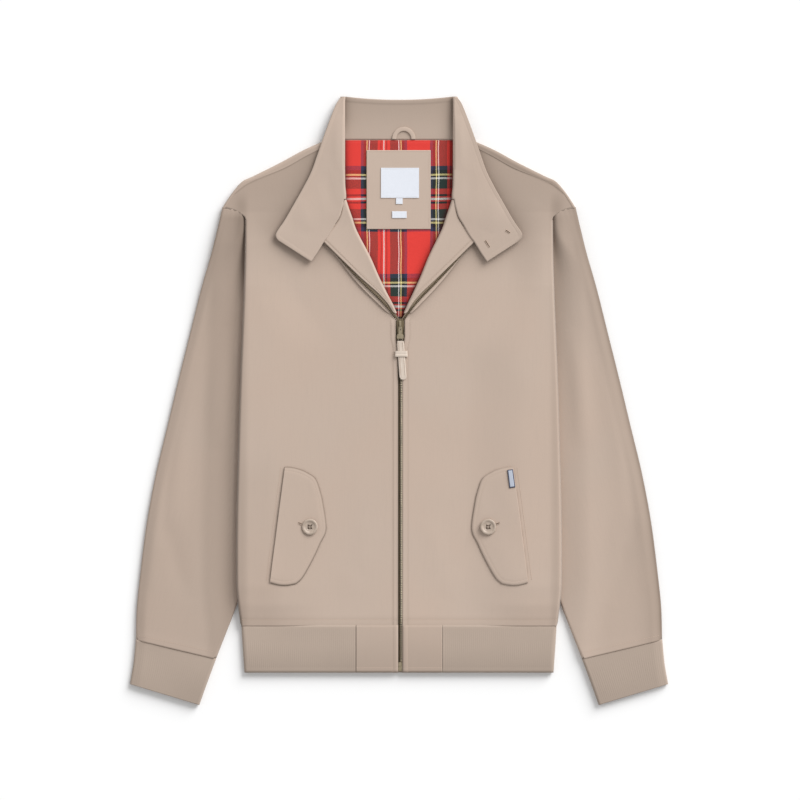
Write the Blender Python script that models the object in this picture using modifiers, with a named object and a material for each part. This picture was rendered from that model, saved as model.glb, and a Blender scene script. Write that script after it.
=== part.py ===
"""A harrington jacket laid flat on its back, with its collar and the tops of its fronts turned out.

Modelled in metres from named sizes in millimetres. +Z is up from the surface it lies on, +Y runs
from hem to collar, and +X is the wearer's left. The origin is at the middle of the underside's box.
"""

from math import cos, pi, radians, sin

import bmesh
import bpy
import numpy as np
from mathutils import Matrix, Vector

MM = 0.001
SEAM = 0.35  # two pieces that are sewn together lie this far apart

# ------------------------------------------------------------------ driving sizes, in millimetres
COLLAR_Y = 340.0  # the back neck seam
HEM_SEAM_Y = -289.8
HEM_Y = -352.0
ZIP_GAP = 2.8  # from the middle to each front's edge, along the closed zip
ZIP_OFF = 1.6  # the zip lies this far to the wearer's left of the middle
ZIP_OFF_SPAN = (9.0, 51.0)  # and the cloth beside it is drawn over with it, fading between these

SHELL = 1.6  # walls: the fronts' cloth
BACK_WALL = 2.0
SLEEVE_WALL = 2.2
RIB_WALL = 2.4
COLLAR_WALL = 2.2
FACING_WALL = 1.0
THIN = 0.8  # lining, patch and zip tape
LABEL_WALL = 0.6

BACK_Z = 1.0  # heights of the middles of the layers
LINING_Z = 2.7
PATCH_Z = 3.8
LABEL_Z = 4.8
FACING_UNDER_Z = 3.9
FRONT_Z = 5.5
TURNED_Z = 7.7
OPEN_TAPE_Z = 9.2
FACING_Z = 10.4
TAPE_Z = 4.0
SHOULDER_Z = 7.0
SLEEVE_UNDER_Z = 1.1
SLEEVE_FLAT_Z = 4.1  # the sleeve's upper layer, under the body
SLEEVE_LOFT_Z = 7.4  # and at its fullest, beside it
SLEEVE_HEAD_Z = 6.2  # and at the armhole

RAISED_LOW = (85.0, 165.0)  # the fronts rise between these distances from the middle, low down
RAISED_HIGH = (140.0, 192.0)  # and between these high up
RAISED_CHANGE_Y = (60.0, 170.0)  # with the change from one to the other between these heights
SHOULDER_CHANGE_Y = (225.0, 262.0)  # the fronts climb to the shoulders' level between these heights
ARMHOLE_TOP, ARMPIT = (230.0, 250.0), (135.0, 64.0)

# Half outlines. Each table has one row for each section, from the hem up.
SIDE = dict(  # the folded side of the body
    y=(HEM_Y, HEM_SEAM_Y, -271, -241, -151, -72, 28, 167, 246),
    x=(200.8, 204.8, 207.3, 210.3, 210.3, 208.4, 205.4, 200.1, 198.9),
)
SIDE_TOP = dict(  # height of the side fold's upper layer
    y=(HEM_Y, HEM_SEAM_Y, -264, -240, 205, 236, 246), z=(6.4, 6.6, 11.0, 12.6, 12.6, 10.4, 7.4)
)
SIDE_UNDER = dict(y=(HEM_Y, HEM_SEAM_Y, -264, -250), z=(1.2, 1.0, 6.3, 6.6))  # and of its under layer
ZIP_EDGE = dict(y=(-350, 70, 80, 84, 107.5), x=(2.8, 2.8, 5.2, 5.7, 5.7))
ROLL = dict(  # the fold of the turned out front
    y=(115.0, 127.0, 139.4, 152.0, 164.5, 189.8, 221.7, 238.6, 250.0, 261.9),
    x=(4.4, 9.6, 16.0, 22.0, 27.8, 38.5, 54.6, 60.5, 64.5, 68.4),
)
FACING_EDGE = dict(  # the facing's free edge, a point for each row of ROLL
    y=(116.0, 128.0, 140.7, 150.0, 160.0, 175.2, 190.3, 199.0, 203.4, 206.7),
    x=(9.0, 16.5, 27.8, 38.0, 49.0, 65.0, 80.5, 89.3, 93.7, 96.9),
)
PLACKET_EDGE = dict(  # the turned front's edge, which shows beyond the zip
    y=(112.5, 121.0, 133.0, 143.5, 156.0, 171.6, 189.1, 198.0, 202.5, 205.9),
    x=(12.5, 22.0, 34.0, 44.5, 56.0, 68.8, 81.8, 90.3, 94.6, 97.7),
)
NECK = dict(  # the front neck seam, under the turned collar
    y=(280.0, 298.0, 318.0, 333.0),
    x=(74.5, 80.0, 86.0, 88.5),
)
SHOULDER = dict(  # where the back wraps over the shoulder, and the seam it ends at on the front
    fold_x=(91.0, 100.1, 124.8, 154.7, 188.5, 203.5, 215.2, 222.5, 227.6),
    fold_y=(341.0, 337.4, 326.3, 310.1, 293.2, 286.0, 273.0, 262.6, 254.6),
    seam_x=(88.5, 95.5, 119.0, 148.0, 180.0, 198.2, 212.0, 219.2, 224.3),
    seam_y=(333.0, 330.6, 318.9, 302.6, 289.6, 281.2, 270.6, 260.5, 252.6),
    bulge=(3.0, 3.0, 3.0, 3.0, 3.0, 2.6, 1.3, 1.3, 1.3),  # how deep the fold's bend is
)
SLEEVE = dict(  # the sleeve's outer and inner edges, a section for each row, from cuff to armhole
    outer_x=(341.9, 340.6, 335.4, 327.6, 315.9, 300.3, 286.0, 271.7, 257.4, 244.5, 236.5, 230.0),
    outer_y=(-308.4, -265.9, -216.5, -156.7, -94.2, -29.2, 30.6, 87.8, 145.0, 190.0, 222.0, 250.0),
    inner_x=(237.2, 216.6, 200.2, 182.0, 165.1, 149.5, 139.0, 133.4, 132.8, 133.4, 134.2, 135.0),
    inner_y=(-333.1, -280.2, -236.0, -189.2, -143.7, -99.5, -58.0, -22.0, 8.5, 30.0, 48.0, 64.0),
)
CUFF = dict(
    outer_x=(349.7, 345.0, 342.0),
    outer_y=(-367.2, -340.0, -308.85),
    inner_x=(259.4, 248.4, 237.3),
    inner_y=(-394.2, -363.5, -333.55),
)
CAP_RISE = 57.0  # how far the sleeve head stands above a straight line
BACK_RISE = (34.0, 26.0, 18.0, 10.0)  # the back climbs over the sleeve at these distances from it
COLLAR_WING = dict(  # rows of the turned out collar, from its top to its end
    inner_x=(69.5, 70.0, 70.0, 70.0, 70.0, 70.0, 70.0, 69.6, 68.8, 75.9, 82.8, 91.5, 97.4, 105.5, 114.1),
    inner_y=(395.9, 388.0, 375.0, 358.0, 340.0, 318.0, 298.0, 280.0, 262.3, 242.0, 230.0, 214.9, 207.2, 194.0, 181.3),
    outer_x=(76.0, 81.0, 86.0, 92.6, 99.5, 106.3, 113.8, 123.6, 134.8, 146.2, 151.6, 156.6, 159.9, 158.4, 154.6),
    outer_y=(393.5, 386.8, 375.2, 358.0, 338.7, 319.0, 298.2, 278.6, 258.6, 238.6, 230.0, 223.0, 216.5, 211.4, 208.2),
    inner_z=(6.9, 7.6, 8.8, 10.2, 11.2, 11.6, 11.8, 11.9, 11.8, 11.1, 10.6, 10.5, 10.7, 11.0, 11.3),
    outer_z=(6.6, 7.2, 8.4, 9.8, 10.6, 10.8, 10.9, 11.1, 11.6, 12.2, 12.6, 13.0, 13.2, 13.0, 12.6),
    fold_x=(76.0, 78.5, 81.5, 85.0, 88.5, 85.6, 79.6, 74.1, None),  # the under layer's far edge
    fold_z=(4.0, 4.3, 5.0, 6.0, 7.0, 7.0, 7.0, 7.0, 7.0),
)  # fmt: skip
COLLAR_RING_ROWS = 5  # the first rows of COLLAR_WING, which run on round the back of the neck
COLLAR_TOP_Y = 391.6  # at the middle of the back
FLAP = dict(  # the pocket flap: its sewn edge and its free edge, from top to bottom
    sewn_x=(148.2, 150.2, 152.6, 155.0, 159.0, 161.4, 163.9, 166.2, 167.4),
    sewn_y=(-84.8, -100.0, -118.0, -136.0, -167.0, -186.0, -205.0, -224.0, -235.0),
    free_x=(122.2, 108.8, 102.2, 98.2, 94.5, 102.2, 111.4, 124.8, 133.9),
    free_y=(-90.4, -99.5, -116.4, -134.6, -165.8, -184.0, -204.0, -227.8, -236.5),
    bulge=(1.5, 0, 0, 0, 0, 0, 0, -1.0, -3.0),
)
SIDE_TAG = ((143.2, -112.2), (150.8, -111.0), (147.6, -87.8), (140.4, -88.8))
FLAP_BUTTON = (115.7, -162.6)
BUTTON_DIAMETER, BUTTON_THICK = 21.0, 2.8
COLLAR_BUTTONS = ((-114.4, 210.0), (-137.8, 219.1))
COLLAR_BUTTON_DIAMETER = 17.0


# ------------------------------------------------------------------ forms
def between(table, at, read="x"):
    """A half outline's value at a height y."""
    return float(np.interp(at, table["y"], table[read]))


def ease(start, end, at):
    """0 before start, 1 after end, and a soft step between them."""
    t = min(max((at - start) / (end - start), 0.0), 1.0)
    return t * t * (3 - 2 * t)


def mix(a, b, share):
    return a + (b - a) * share


def front_height(x, y):
    """The middle of the fronts' cloth: low along the zip, raised where it lies over the sleeves."""
    upper = ease(*RAISED_CHANGE_Y, y)
    raised = ease(mix(RAISED_LOW[0], RAISED_HIGH[0], upper), mix(RAISED_LOW[1], RAISED_HIGH[1], upper), abs(x))
    low = mix(FRONT_Z, SHOULDER_Z, ease(*SHOULDER_CHANGE_Y, y))
    return mix(low, max(low, between(SIDE_TOP, y, "z")), raised)


def sleeve_edge(y):
    """Where the sleeve's inner edge lies, under the body."""
    return float(np.interp(y, SLEEVE["inner_y"], SLEEVE["inner_x"]))


def under_height(x, y):
    """The middle of the under layer, which rises from the surface to lie over the sleeve."""
    edge = sleeve_edge(y)
    over = ease(edge - BACK_RISE[0], edge - BACK_RISE[-1], abs(x))
    return mix(BACK_Z, between(SIDE_UNDER, y, "z"), over)


def cap(share, out=0.0):
    """The seam of sleeve and body, from the shoulder to the armpit, moved out of the sleeve."""
    def at(t):
        straight = Vector(ARMHOLE_TOP).lerp(Vector(ARMPIT), t)
        return straight + Vector((0, CAP_RISE * sin(pi * t)))

    slope = (at(min(share + 0.01, 1.0)) - at(max(share - 0.01, 0.0))).normalized()
    return at(share) + Vector((slope.y, -slope.x)) * out


def fold(edge, inward, low, high, bulge, wall, steps=4):
    """Points round a folded edge seen end on, from its upper layer to its lower one.

    edge is the outermost point in plan, inward the plan direction back into the cloth, low and high
    the heights of the two layers, and bulge how deep the bend is.
    """
    points = []
    for k in range(steps + 1):
        a = radians(90 - 180 * k / steps)
        place = Vector(edge) + Vector(inward) * (wall / 2 + bulge * (1 - cos(a)))
        points.append((place.x, place.y, mix(low, high, (1 + sin(a)) / 2)))
    return points


def outward(table, x, y, index):
    """The direction, in plan, square to a line in a table and to the right of its run."""
    xs, ys = table[x], table[y]
    a, b = max(index - 1, 0), min(index + 1, len(xs) - 1)
    run = Vector((xs[b] - xs[a], ys[b] - ys[a])).normalized()
    return Vector((run.y, -run.x))


# ------------------------------------------------------------------ making objects
def finish(name, colour, rough, metal=0.0):
    made = bpy.data.materials.get(name) or bpy.data.materials.new(name)
    made.use_nodes = True
    shader = made.node_tree.nodes["Principled BSDF"]
    shader.inputs["Base Color"].default_value = (*colour, 1.0)
    shader.inputs["Roughness"].default_value = rough
    shader.inputs["Metallic"].default_value = metal
    return made


def shell_cloth():
    return finish("cotton_twill", (0.53, 0.42, 0.345), 0.85)


def rib_cloth():
    return finish("rib_knit", (0.42, 0.33, 0.262), 0.95)


def tartan_cloth():
    return finish("tartan_cotton", (0.72, 0.06, 0.045), 0.8)


def label_cloth():
    return finish("woven_label", (0.85, 0.85, 0.87), 0.6)


def tape_cloth():
    return finish("zip_tape", (0.16, 0.135, 0.09), 0.8)


def brass():
    return finish("aged_brass", (0.33, 0.25, 0.13), 0.35, 1.0)


def button_resin():
    return finish("button_resin", (0.5, 0.39, 0.3), 0.4)


def pull_leather():
    return finish("pull_leather", (0.66, 0.54, 0.44), 0.6)


def jacket_collection():
    found = bpy.data.collections.get("harrington_jacket")
    if not found:
        found = bpy.data.collections.new("harrington_jacket")
        bpy.context.scene.collection.children.link(found)
    return found


def keep(name, mesh, made_of, smooth=True):
    thing = bpy.data.objects.new(name, mesh)
    jacket_collection().objects.link(thing)
    mesh.materials.append(made_of)
    if smooth:
        mesh.shade_smooth()
        mesh.set_sharp_from_angle(angle=radians(40))
    return thing


def drawn(x):
    """Where a point of the fronts lies across, with the zip's own offset."""
    low, high = ZIP_OFF_SPAN
    return x + ZIP_OFF * min(max((high - abs(x)) / (high - low), 0.0), 1.0)


def sheet(name, rows, wall, made_of, side=1, tube=False, over=False):
    """Cloth through rows of points (None where a row has none), in millimetres, with a wall.

    over is true for the pieces along the zip, which are drawn over with it.
    """
    form = bmesh.new()
    grid = []
    for row in rows:
        across = [None if p is None else drawn(p[0] * side) if over else p[0] * side for p in row]
        grid.append([
            None if p is None else form.verts.new((x * MM, p[1] * MM, p[2] * MM)) for x, p in zip(across, row)
        ])
    if tube:
        grid = [row + row[:1] for row in grid]
    for low, high in zip(grid, grid[1:]):
        for a, b, c, d in zip(low, low[1:], high[1:], high):
            if None not in (a, b, c, d):
                form.faces.new((a, b, c, d))
    bmesh.ops.delete(form, geom=[v for v in form.verts if not v.link_faces], context="VERTS")
    mesh = bpy.data.meshes.new(name)
    form.to_mesh(mesh)
    form.free()
    thing = keep(name, mesh, made_of)
    solid = thing.modifiers.new("wall", "SOLIDIFY")
    solid.thickness = wall * MM
    solid.offset = 0.0
    return thing


def button(name, place, diameter, thick, made_of):
    """A disc with a raised rim, its underside at the place given."""
    radius = diameter / 2
    profile = (
        (0.0, 0.70), (0.62, 0.70), (0.74, 1.0), (0.92, 1.0), (1.0, 0.72), (1.0, 0.28), (0.9, 0.0), (0.0, 0.0),
    )  # fmt: skip
    form = bmesh.new()
    line = [form.verts.new((r * radius * MM, 0, h * thick * MM)) for r, h in profile]
    for a, b in zip(line, line[1:]):
        form.edges.new((a, b))
    mesh = bpy.data.meshes.new(name)
    form.to_mesh(mesh)
    form.free()
    thing = keep(name, mesh, made_of)
    screw = thing.modifiers.new("turned", "SCREW")
    screw.steps = screw.render_steps = 16
    screw.use_merge_vertices = True
    screw.merge_threshold = 0.00001
    thing.location = Vector(place) * MM
    return thing


def block(name, low, high, made_of, bevel=0.0):
    """A box between two corners, with rounded edges."""
    form = bmesh.new()
    bmesh.ops.create_cube(form, size=1.0)
    size = Vector(high) - Vector(low)
    middle = (Vector(high) + Vector(low)) / 2
    bmesh.ops.transform(form, matrix=Matrix.Diagonal((*(size * MM), 1.0)), verts=form.verts)
    bmesh.ops.translate(form, vec=middle * MM, verts=form.verts)
    mesh = bpy.data.meshes.new(name)
    form.to_mesh(mesh)
    form.free()
    thing = keep(name, mesh, made_of, smooth=False)
    if bevel:
        rounded = thing.modifiers.new("rounded", "BEVEL")
        rounded.width = bevel * MM
        rounded.segments = 1
    return thing


# ------------------------------------------------------------------ the fronts
FRONT_SHARES = (0.0, 0.05, 0.14, 0.26, 0.38, 0.5, 0.62, 0.73, 0.83, 0.91, 1.0)
FRONT_LOW_ROWS = (HEM_SEAM_Y, -264, -240, -190, -140, -90, -40, 10, 50, 70, 82, 107.5)
FRONT_SIDE_ROWS = (118, 134, 150, 166, 182, 203, 222, 236)  # beside the first rows of ROLL
FRONT_CAP_ROWS = (0.31, 0.26, 0.22, 0.18, 0.14, 0.105)  # armhole shares beside the rows above them
ROLL_INSET = 2.3  # the fold in the front's own cloth lies this far inside the facing's
UNDER_REACH = 28.0  # the front runs this far under, to its side seam
FLAP_COLUMNS = 4


def front_side_fold(y):
    """The side fold of the front, from its upper layer round to the side seam."""
    edge = between(SIDE, y)
    high, low = front_height(edge, y), under_height(edge, y)
    bulge = (high - low) / 2
    round_edge = fold((edge, y), (-1, 0), low, high, bulge, SHELL)
    inner = round_edge[-1][0]
    far = edge - UNDER_REACH
    under = [(mix(inner, far, s), y, under_height(mix(inner, far, s), y)) for s in (0.5, 1.0)]
    return round_edge + under


def front(side):
    rows = []
    blank_side = [None] * (len(front_side_fold(0.0)) - 1)
    blank_turned = [None] * (FLAP_COLUMNS + 4)
    top = [Vector(p) for p in zip(SHOULDER["seam_x"], SHOULDER["seam_y"])]
    left_edge = [(between(ZIP_EDGE, y), y, None) for y in FRONT_LOW_ROWS]
    left_edge += [(x, y, k) for k, (x, y) in enumerate(zip(ROLL["x"], ROLL["y"]))]
    left_edge += [(x, y, None) for x, y in zip(NECK["x"], NECK["y"])]
    side_rows = FRONT_LOW_ROWS + FRONT_SIDE_ROWS
    for index, (x, y, roll) in enumerate(left_edge):
        turned = list(blank_turned)
        start = Vector((x, y))
        if roll is not None:
            out = outward(ROLL, "x", "y", roll)
            edge = start + out * ROLL_INSET
            low = front_height(x, y)
            high = low + TURNED_Z - FRONT_Z
            bend = fold(edge, out, low, high, 1.0, SHELL)
            start = Vector(bend[-1][:2])
            if roll > 0:
                free = Vector((PLACKET_EDGE["x"][roll], PLACKET_EDGE["y"][roll]))
                turn_at = Vector(bend[0][:2])
                shares = [k / FLAP_COLUMNS for k in range(FLAP_COLUMNS)]
                turned = [seam_line(free, turn_at, s, roll) for s in shares]
                turned = [(p.x, p.y, front_height(p.x, p.y) + TURNED_Z - FRONT_Z) for p in turned]
                turned += bend[:-1]
        if index < len(side_rows):
            side_part = front_side_fold(side_rows[index])
            end = Vector(side_part[0][:2])
            side_part = side_part[1:]
            bow = 0.0
        else:
            rank = index - len(side_rows)
            end = cap(FRONT_CAP_ROWS[rank], SEAM) if rank < len(FRONT_CAP_ROWS) - 1 else top[-1]
            side_part = blank_side
            bow = ((rank + 1) / len(FRONT_CAP_ROWS)) ** 2
        body = []
        for share in FRONT_SHARES:
            straight = start.lerp(end, share)
            place = straight + (shoulder_bow(top, share)) * bow
            body.append((place.x, place.y, front_height(place.x, place.y)))
        rows.append(turned + body + side_part)
    name = "front_left" if side > 0 else "front_right"
    return sheet(name, rows, SHELL, shell_cloth(), side, over=True)


def shoulder_bow(line, share):
    """How far the shoulder seam stands off a straight line between its ends, at a share of it."""
    x = mix(line[0].x, line[-1].x, share)
    y = float(np.interp(x, [p.x for p in line], [p.y for p in line]))
    return Vector((0, y - mix(line[0].y, line[-1].y, share)))


def seam_line(free, folded, share, row):
    """A point across the turned out front; its last rows curve with the collar seam."""
    hollow = {9: 1.0, 8: 0.55, 7: 0.2}.get(row, 0.0)
    return free.lerp(folded, share) - Vector((4.6, 4.6)) * hollow * sin(pi * share**1.4)


# ------------------------------------------------------------------ facings and zip on the lapels
def lapel_row(row):
    """The roll fold, its outward direction and the facing's and placket's edges at a row of ROLL."""
    roll = Vector((ROLL["x"][row], ROLL["y"][row]))
    edge = Vector((FACING_EDGE["x"][row], FACING_EDGE["y"][row]))
    placket = Vector((PLACKET_EDGE["x"][row], PLACKET_EDGE["y"][row]))
    return roll, outward(ROLL, "x", "y", row), edge, placket


def lapel_height(place, level, row):
    """A layer's height on the lapel, which sinks to the slider at its lowest row."""
    sink = 1.6 if row == 0 else 0.0
    return level + front_height(place.x, place.y) - FRONT_Z - sink


def facing(side):
    rows = []
    for row in range(len(ROLL["x"])):
        roll, out, edge, _ = lapel_row(row)
        high = lapel_height(roll, FACING_Z, row)
        bulge = (1.3, 2.0)[row] if row < 2 else 2.4
        bend = fold(roll, out, FACING_UNDER_Z, high, bulge, FACING_WALL)
        inner = Vector(bend[0][:2])
        top = [seam_line(edge, inner, s, row) for s in (0.0, 0.25, 0.5, 0.75)]
        top = [(p.x, p.y, lapel_height(p, FACING_Z, row)) for p in top]
        under = Vector(bend[-1][:2]) + out * 9.0
        rows.append(top + bend + [(under.x, under.y, FACING_UNDER_Z)])
    return sheet(f"facing_{hand(side)}", rows, FACING_WALL, shell_cloth(), side, over=True)


def open_zip(side):
    """The open half of the zip, between the turned front and its facing."""
    rows = []
    for row in range(len(ROLL["x"]) - 1):
        roll, out, edge, placket = lapel_row(row)
        inner = edge.lerp(roll, min(0.45, 8.0 / (edge - roll).length))
        outer = edge.lerp(placket, 0.62)
        ends = [inner.lerp(outer, s) for s in (0.0, 0.6, 1.0)]
        rows.append([(p.x, p.y, lapel_height(p, OPEN_TAPE_Z, row)) for p in ends])
    return sheet(f"zip_open_{hand(side)}", rows, THIN, tape_cloth(), side, over=True)


def hand(side):
    return "left" if side > 0 else "right"


# ------------------------------------------------------------------ the closed zip
def zip_tape(side):
    rows = []
    for y in (-349.5, -150.0, 68.0, 80.0, 84.0, 100.0):
        inner = between(ZIP_EDGE, y) + 0.2
        rows.append([(inner + reach, y, TAPE_Z) for reach in (0.0, 11.0)])
    return sheet(f"zip_tape_{hand(side)}", rows, THIN, tape_cloth(), side, over=True)


CHAIN = dict(half=2.4, y=(-338.0, 80.9), z=(3.0, 5.6), bevel=0.5)
BOTTOM_STOP = dict(half=2.5, y=(-351.6, -338.4), z=(2.8, 7.0), bevel=0.6)
SLIDER = dict(half=4.9, y=(81.3, 107.0), z=(2.4, 6.9), bevel=1.0)
SLIDER_CROWN = dict(half=2.3, y=(83.5, 105.0), z=(6.0, 9.8), bevel=0.9)


def on_zip(name, size):
    """A block of metal astride the zip's line."""
    low = (ZIP_OFF - size["half"], size["y"][0], size["z"][0])
    high = (ZIP_OFF + size["half"], size["y"][1], size["z"][1])
    return block(name, low, high, brass(), size["bevel"])


def zip_metal():
    on_zip("zip_chain", CHAIN)
    on_zip("zip_bottom_stop", BOTTOM_STOP)
    slider = on_zip("zip_slider", SLIDER)
    crown = on_zip("slider_crown", SLIDER_CROWN)
    jacket_collection().objects.unlink(crown)
    cutters = bpy.data.collections.new("cutters")
    bpy.context.scene.collection.children.link(cutters)
    cutters.objects.link(crown)
    crown.hide_render = True
    crown.display_type = "WIRE"
    join = slider.modifiers.new("crown", "BOOLEAN")
    join.operation = "UNION"
    join.object = crown


PULL_AXIS = (ZIP_OFF, 80.1, 8.3)
PULL_START, PULL_LENGTH, PULL_WIDTH, PULL_THICK = 1.4, 52.0, 9.2, 1.8
PULL_TILT = radians(4.2)
KEEPER_AT, KEEPER_LONG, KEEPER_WIDE, KEEPER_WALL = 14.4, 7.6, 16.6, 0.5
KEEPER_HALF_HIGH, KEEPER_SHOULDER = 1.45, 1.6


def zip_pull():
    """The leather strap on the slider and its keeper, on an empty at the hinge."""
    hinge = bpy.data.objects.new("pull_hinge", None)
    jacket_collection().objects.link(hinge)
    hinge.location = Vector(PULL_AXIS) * MM
    half = PULL_WIDTH / 2
    rows = []
    stations = [PULL_START, 8.0, 16.0, 24.0, 32.0, 40.0]
    round_from = PULL_LENGTH - half
    stations += [round_from + half * sin(radians(a)) for a in (0, 30, 55, 75)]
    for at in stations:
        past = max(0.0, at - round_from)
        reach = (half * half - past * past) ** 0.5 * (0.9 if at < 4 else 1.0)
        rows.append([(reach * s + at * sin(PULL_TILT), -at, 0.0) for s in (-1, -0.5, 0, 0.5, 1)])
    strap = sheet("pull_strap", rows, PULL_THICK, pull_leather())
    strap.parent = hinge
    wide, high = KEEPER_WIDE / 2, KEEPER_HALF_HIGH
    level = wide - KEEPER_SHOULDER
    loop = [(-wide, 0.0), (-level, high), (0.0, high), (level, high)]
    loop += [(wide, 0.0), (level, -high), (0.0, -high), (-level, -high)]
    middle = (KEEPER_AT + KEEPER_LONG / 2) * sin(PULL_TILT)
    rows = [[(x + middle, -at, z) for x, z in loop] for at in (KEEPER_AT, KEEPER_AT + KEEPER_LONG)]
    keeper = sheet("pull_keeper", rows, KEEPER_WALL, pull_leather(), tube=True)
    keeper.parent = hinge


# ------------------------------------------------------------------ the back
BACK_SIDE_ROWS = (HEM_SEAM_Y, -264, -240, -190, -140, -90, -40, 10, 44)
BACK_CAP_ROWS = (0.965, 0.86, 0.7, 0.55, 0.42, 0.3, 0.2, 0.12)
BACK_MIDDLE_ROWS = (72, 108, 150, 188, 218, 245, 272, 300)  # at the middle, beside the rows above
NECK_COLUMNS = (0.0, 24.0, 48.0, 70.0)
CAP_GAP = 1.2  # between the back's edge and the armhole seam
CAP_SETTLE_Y = (80.0, 140.0)  # the back comes down to the surface again between these heights
STRIP_GAP = 0.9  # between the strip and the front, whose edges turn at different points


def shoulder_ring():
    """For each point of the shoulder: its fold round to the front, ending at the forward seam."""
    ring = []
    for k in range(len(SHOULDER["fold_x"])):
        edge = Vector((SHOULDER["fold_x"][k], SHOULDER["fold_y"][k]))
        inward = outward(SHOULDER, "fold_x", "fold_y", k)
        bend = fold(edge, inward, BACK_Z, SHOULDER_Z, SHOULDER["bulge"][k], BACK_WALL)
        seam = Vector((SHOULDER["seam_x"][k], SHOULDER["seam_y"][k])) - inward * STRIP_GAP
        top = front_height(seam.x, seam.y)
        bend = [(x, y, z + (top - SHOULDER_Z) * (z - BACK_Z) / (SHOULDER_Z - BACK_Z)) for x, y, z in bend]
        ring.append(bend[::-1] + [(seam.x, seam.y, top)])
    return ring


def back_columns(y, far, count):
    """Where the back's columns lie at a height y: closest where it climbs over the sleeve."""
    wanted = list(NECK_COLUMNS) + [sleeve_edge(y) - reach for reach in BACK_RISE]
    rest = count - len(wanted)
    wanted = [min(x, far - 3.0 * (count - 1 - k)) for k, x in enumerate(wanted)]
    return wanted + [mix(wanted[-1], far, (k + 1) / rest) for k in range(rest)]


def back():
    ring = shoulder_ring()
    top = [Vector((x, COLLAR_Y)) for x in NECK_COLUMNS] + [Vector(bend[0][:2]) for bend in ring]
    shares = [p.x / top[-1].x for p in top]
    rows = []
    for y in BACK_SIDE_ROWS:
        columns = back_columns(y, between(SIDE, y) - UNDER_REACH - SEAM, len(top))
        rows.append([(x, y, under_height(x, y)) for x in columns])
    for rank, (cap_share, middle) in enumerate(zip(BACK_CAP_ROWS, BACK_MIDDLE_ROWS)):
        end = cap(cap_share, CAP_GAP)
        settle = 1 - ease(*CAP_SETTLE_Y, end.y)
        bow = (rank / len(BACK_CAP_ROWS)) ** 2
        row = []
        level_y = min(end.y, ARMPIT[1])
        columns = back_columns(level_y, end.x, len(top))
        for column, share, t in zip(columns, shares, top):
            s = mix(column / end.x, share, rank / len(BACK_CAP_ROWS))
            flat = top[0].lerp(top[-1], s)
            place = Vector((0, middle)).lerp(end, s) + (t - flat) * bow
            rise = (under_height(place.x, level_y) - BACK_Z) * settle
            row.append((place.x, place.y, BACK_Z + rise))
        rows.append(row)
    rows.append([(p.x, p.y, BACK_Z) for p in top])
    for step in range(1, len(ring[0])):
        rows.append([None] * len(NECK_COLUMNS) + [bend[step] for bend in ring])
    full = []
    for row in rows:
        mirrored = [None if p is None else (-p[0], p[1], p[2]) for p in row[:0:-1]]
        full.append(mirrored + row)
    return sheet("back", full, BACK_WALL, shell_cloth())


# ------------------------------------------------------------------ sleeves and cuffs
SLEEVE_TOP_SHARES = (0.0, 0.08, 0.2, 0.34, 0.5, 0.66, 0.82, 1.0)
SLEEVE_UNDER_SHARES = (1.0, 0.75, 0.5, 0.25, 0.0)
TUBE_BULGE = 1.6
LOFT_SPAN = (5.0, 38.0)  # the sleeve fills out between these distances beside the body
EDGE_SPAN = (-6.0, 12.0)  # and between these from its own outer edge
HEAD_ROWS = 3  # and settles again over its last rows
CAP_BOW_ROWS, CAP_BOW_POWER = 5, 1.6  # the sleeve's sections curve more and more towards its head


def sleeve_height(x, y, off_edge, row, last):
    """The sleeve's upper layer: full beside the body, flat under it, lower at its outer edge."""
    beside = ease(*LOFT_SPAN, abs(x) - between(SIDE, y))
    height = mix(SLEEVE_FLAT_Z, SLEEVE_LOFT_Z, beside)
    height = mix(SLEEVE_FLAT_Z, height, ease(*EDGE_SPAN, off_edge))
    head = ease(last - HEAD_ROWS, last, row)
    return mix(height, min(height, SLEEVE_HEAD_Z), head)


def tube_row(table, row, bow, height, under, wall):
    """One section of a flattened tube: over the top from its outer edge, and back underneath."""
    outer = Vector((table["outer_x"][row], table["outer_y"][row]))
    inner = Vector((table["inner_x"][row], table["inner_y"][row]))
    outer_in = -outward(table, "outer_x", "outer_y", row)
    inner_in = outward(table, "inner_x", "inner_y", row)
    reach = wall / 2 + TUBE_BULGE
    starts, ends = outer + outer_in * reach, inner + inner_in * reach
    wide = (inner - outer).length
    points = []
    for s in SLEEVE_TOP_SHARES:
        place = starts.lerp(ends, s) + Vector((0, bow * sin(pi * s)))
        points.append((place.x, place.y, height(place, s * wide)))
    inner_top, outer_top = points[-1][2], points[0][2]
    for a in (45, 0, -45):
        place = ends - inner_in * TUBE_BULGE * cos(radians(a))
        points.append((place.x, place.y, mix(under, inner_top, (1 + sin(radians(a))) / 2)))
    for s in SLEEVE_UNDER_SHARES:
        place = starts.lerp(ends, s) + Vector((0, bow * sin(pi * s)))
        points.append((place.x, place.y, under))
    for a in (-45, 0, 45):
        place = starts - outer_in * TUBE_BULGE * cos(radians(a))
        points.append((place.x, place.y, mix(under, outer_top, (1 + sin(radians(a))) / 2)))
    return points


def sleeve(side):
    rows = []
    last = len(SLEEVE["outer_x"]) - 1
    for row in range(last + 1):
        bow = CAP_RISE * max(0.0, (row - last + CAP_BOW_ROWS) / CAP_BOW_ROWS) ** CAP_BOW_POWER

        def height(place, off, row=row):
            return sleeve_height(place.x, place.y, off, row, last)

        rows.append(tube_row(SLEEVE, row, bow, height, SLEEVE_UNDER_Z, SLEEVE_WALL))
    return sheet(f"sleeve_{hand(side)}", rows, SLEEVE_WALL, shell_cloth(), side, tube=True)


CUFF_EDGE_Z, CUFF_Z = 4.6, 6.4


def cuff_height(place, off):
    """The cuff's upper layer, lower at its outer edge."""
    return mix(CUFF_EDGE_Z, CUFF_Z, ease(*EDGE_SPAN, off))


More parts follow.
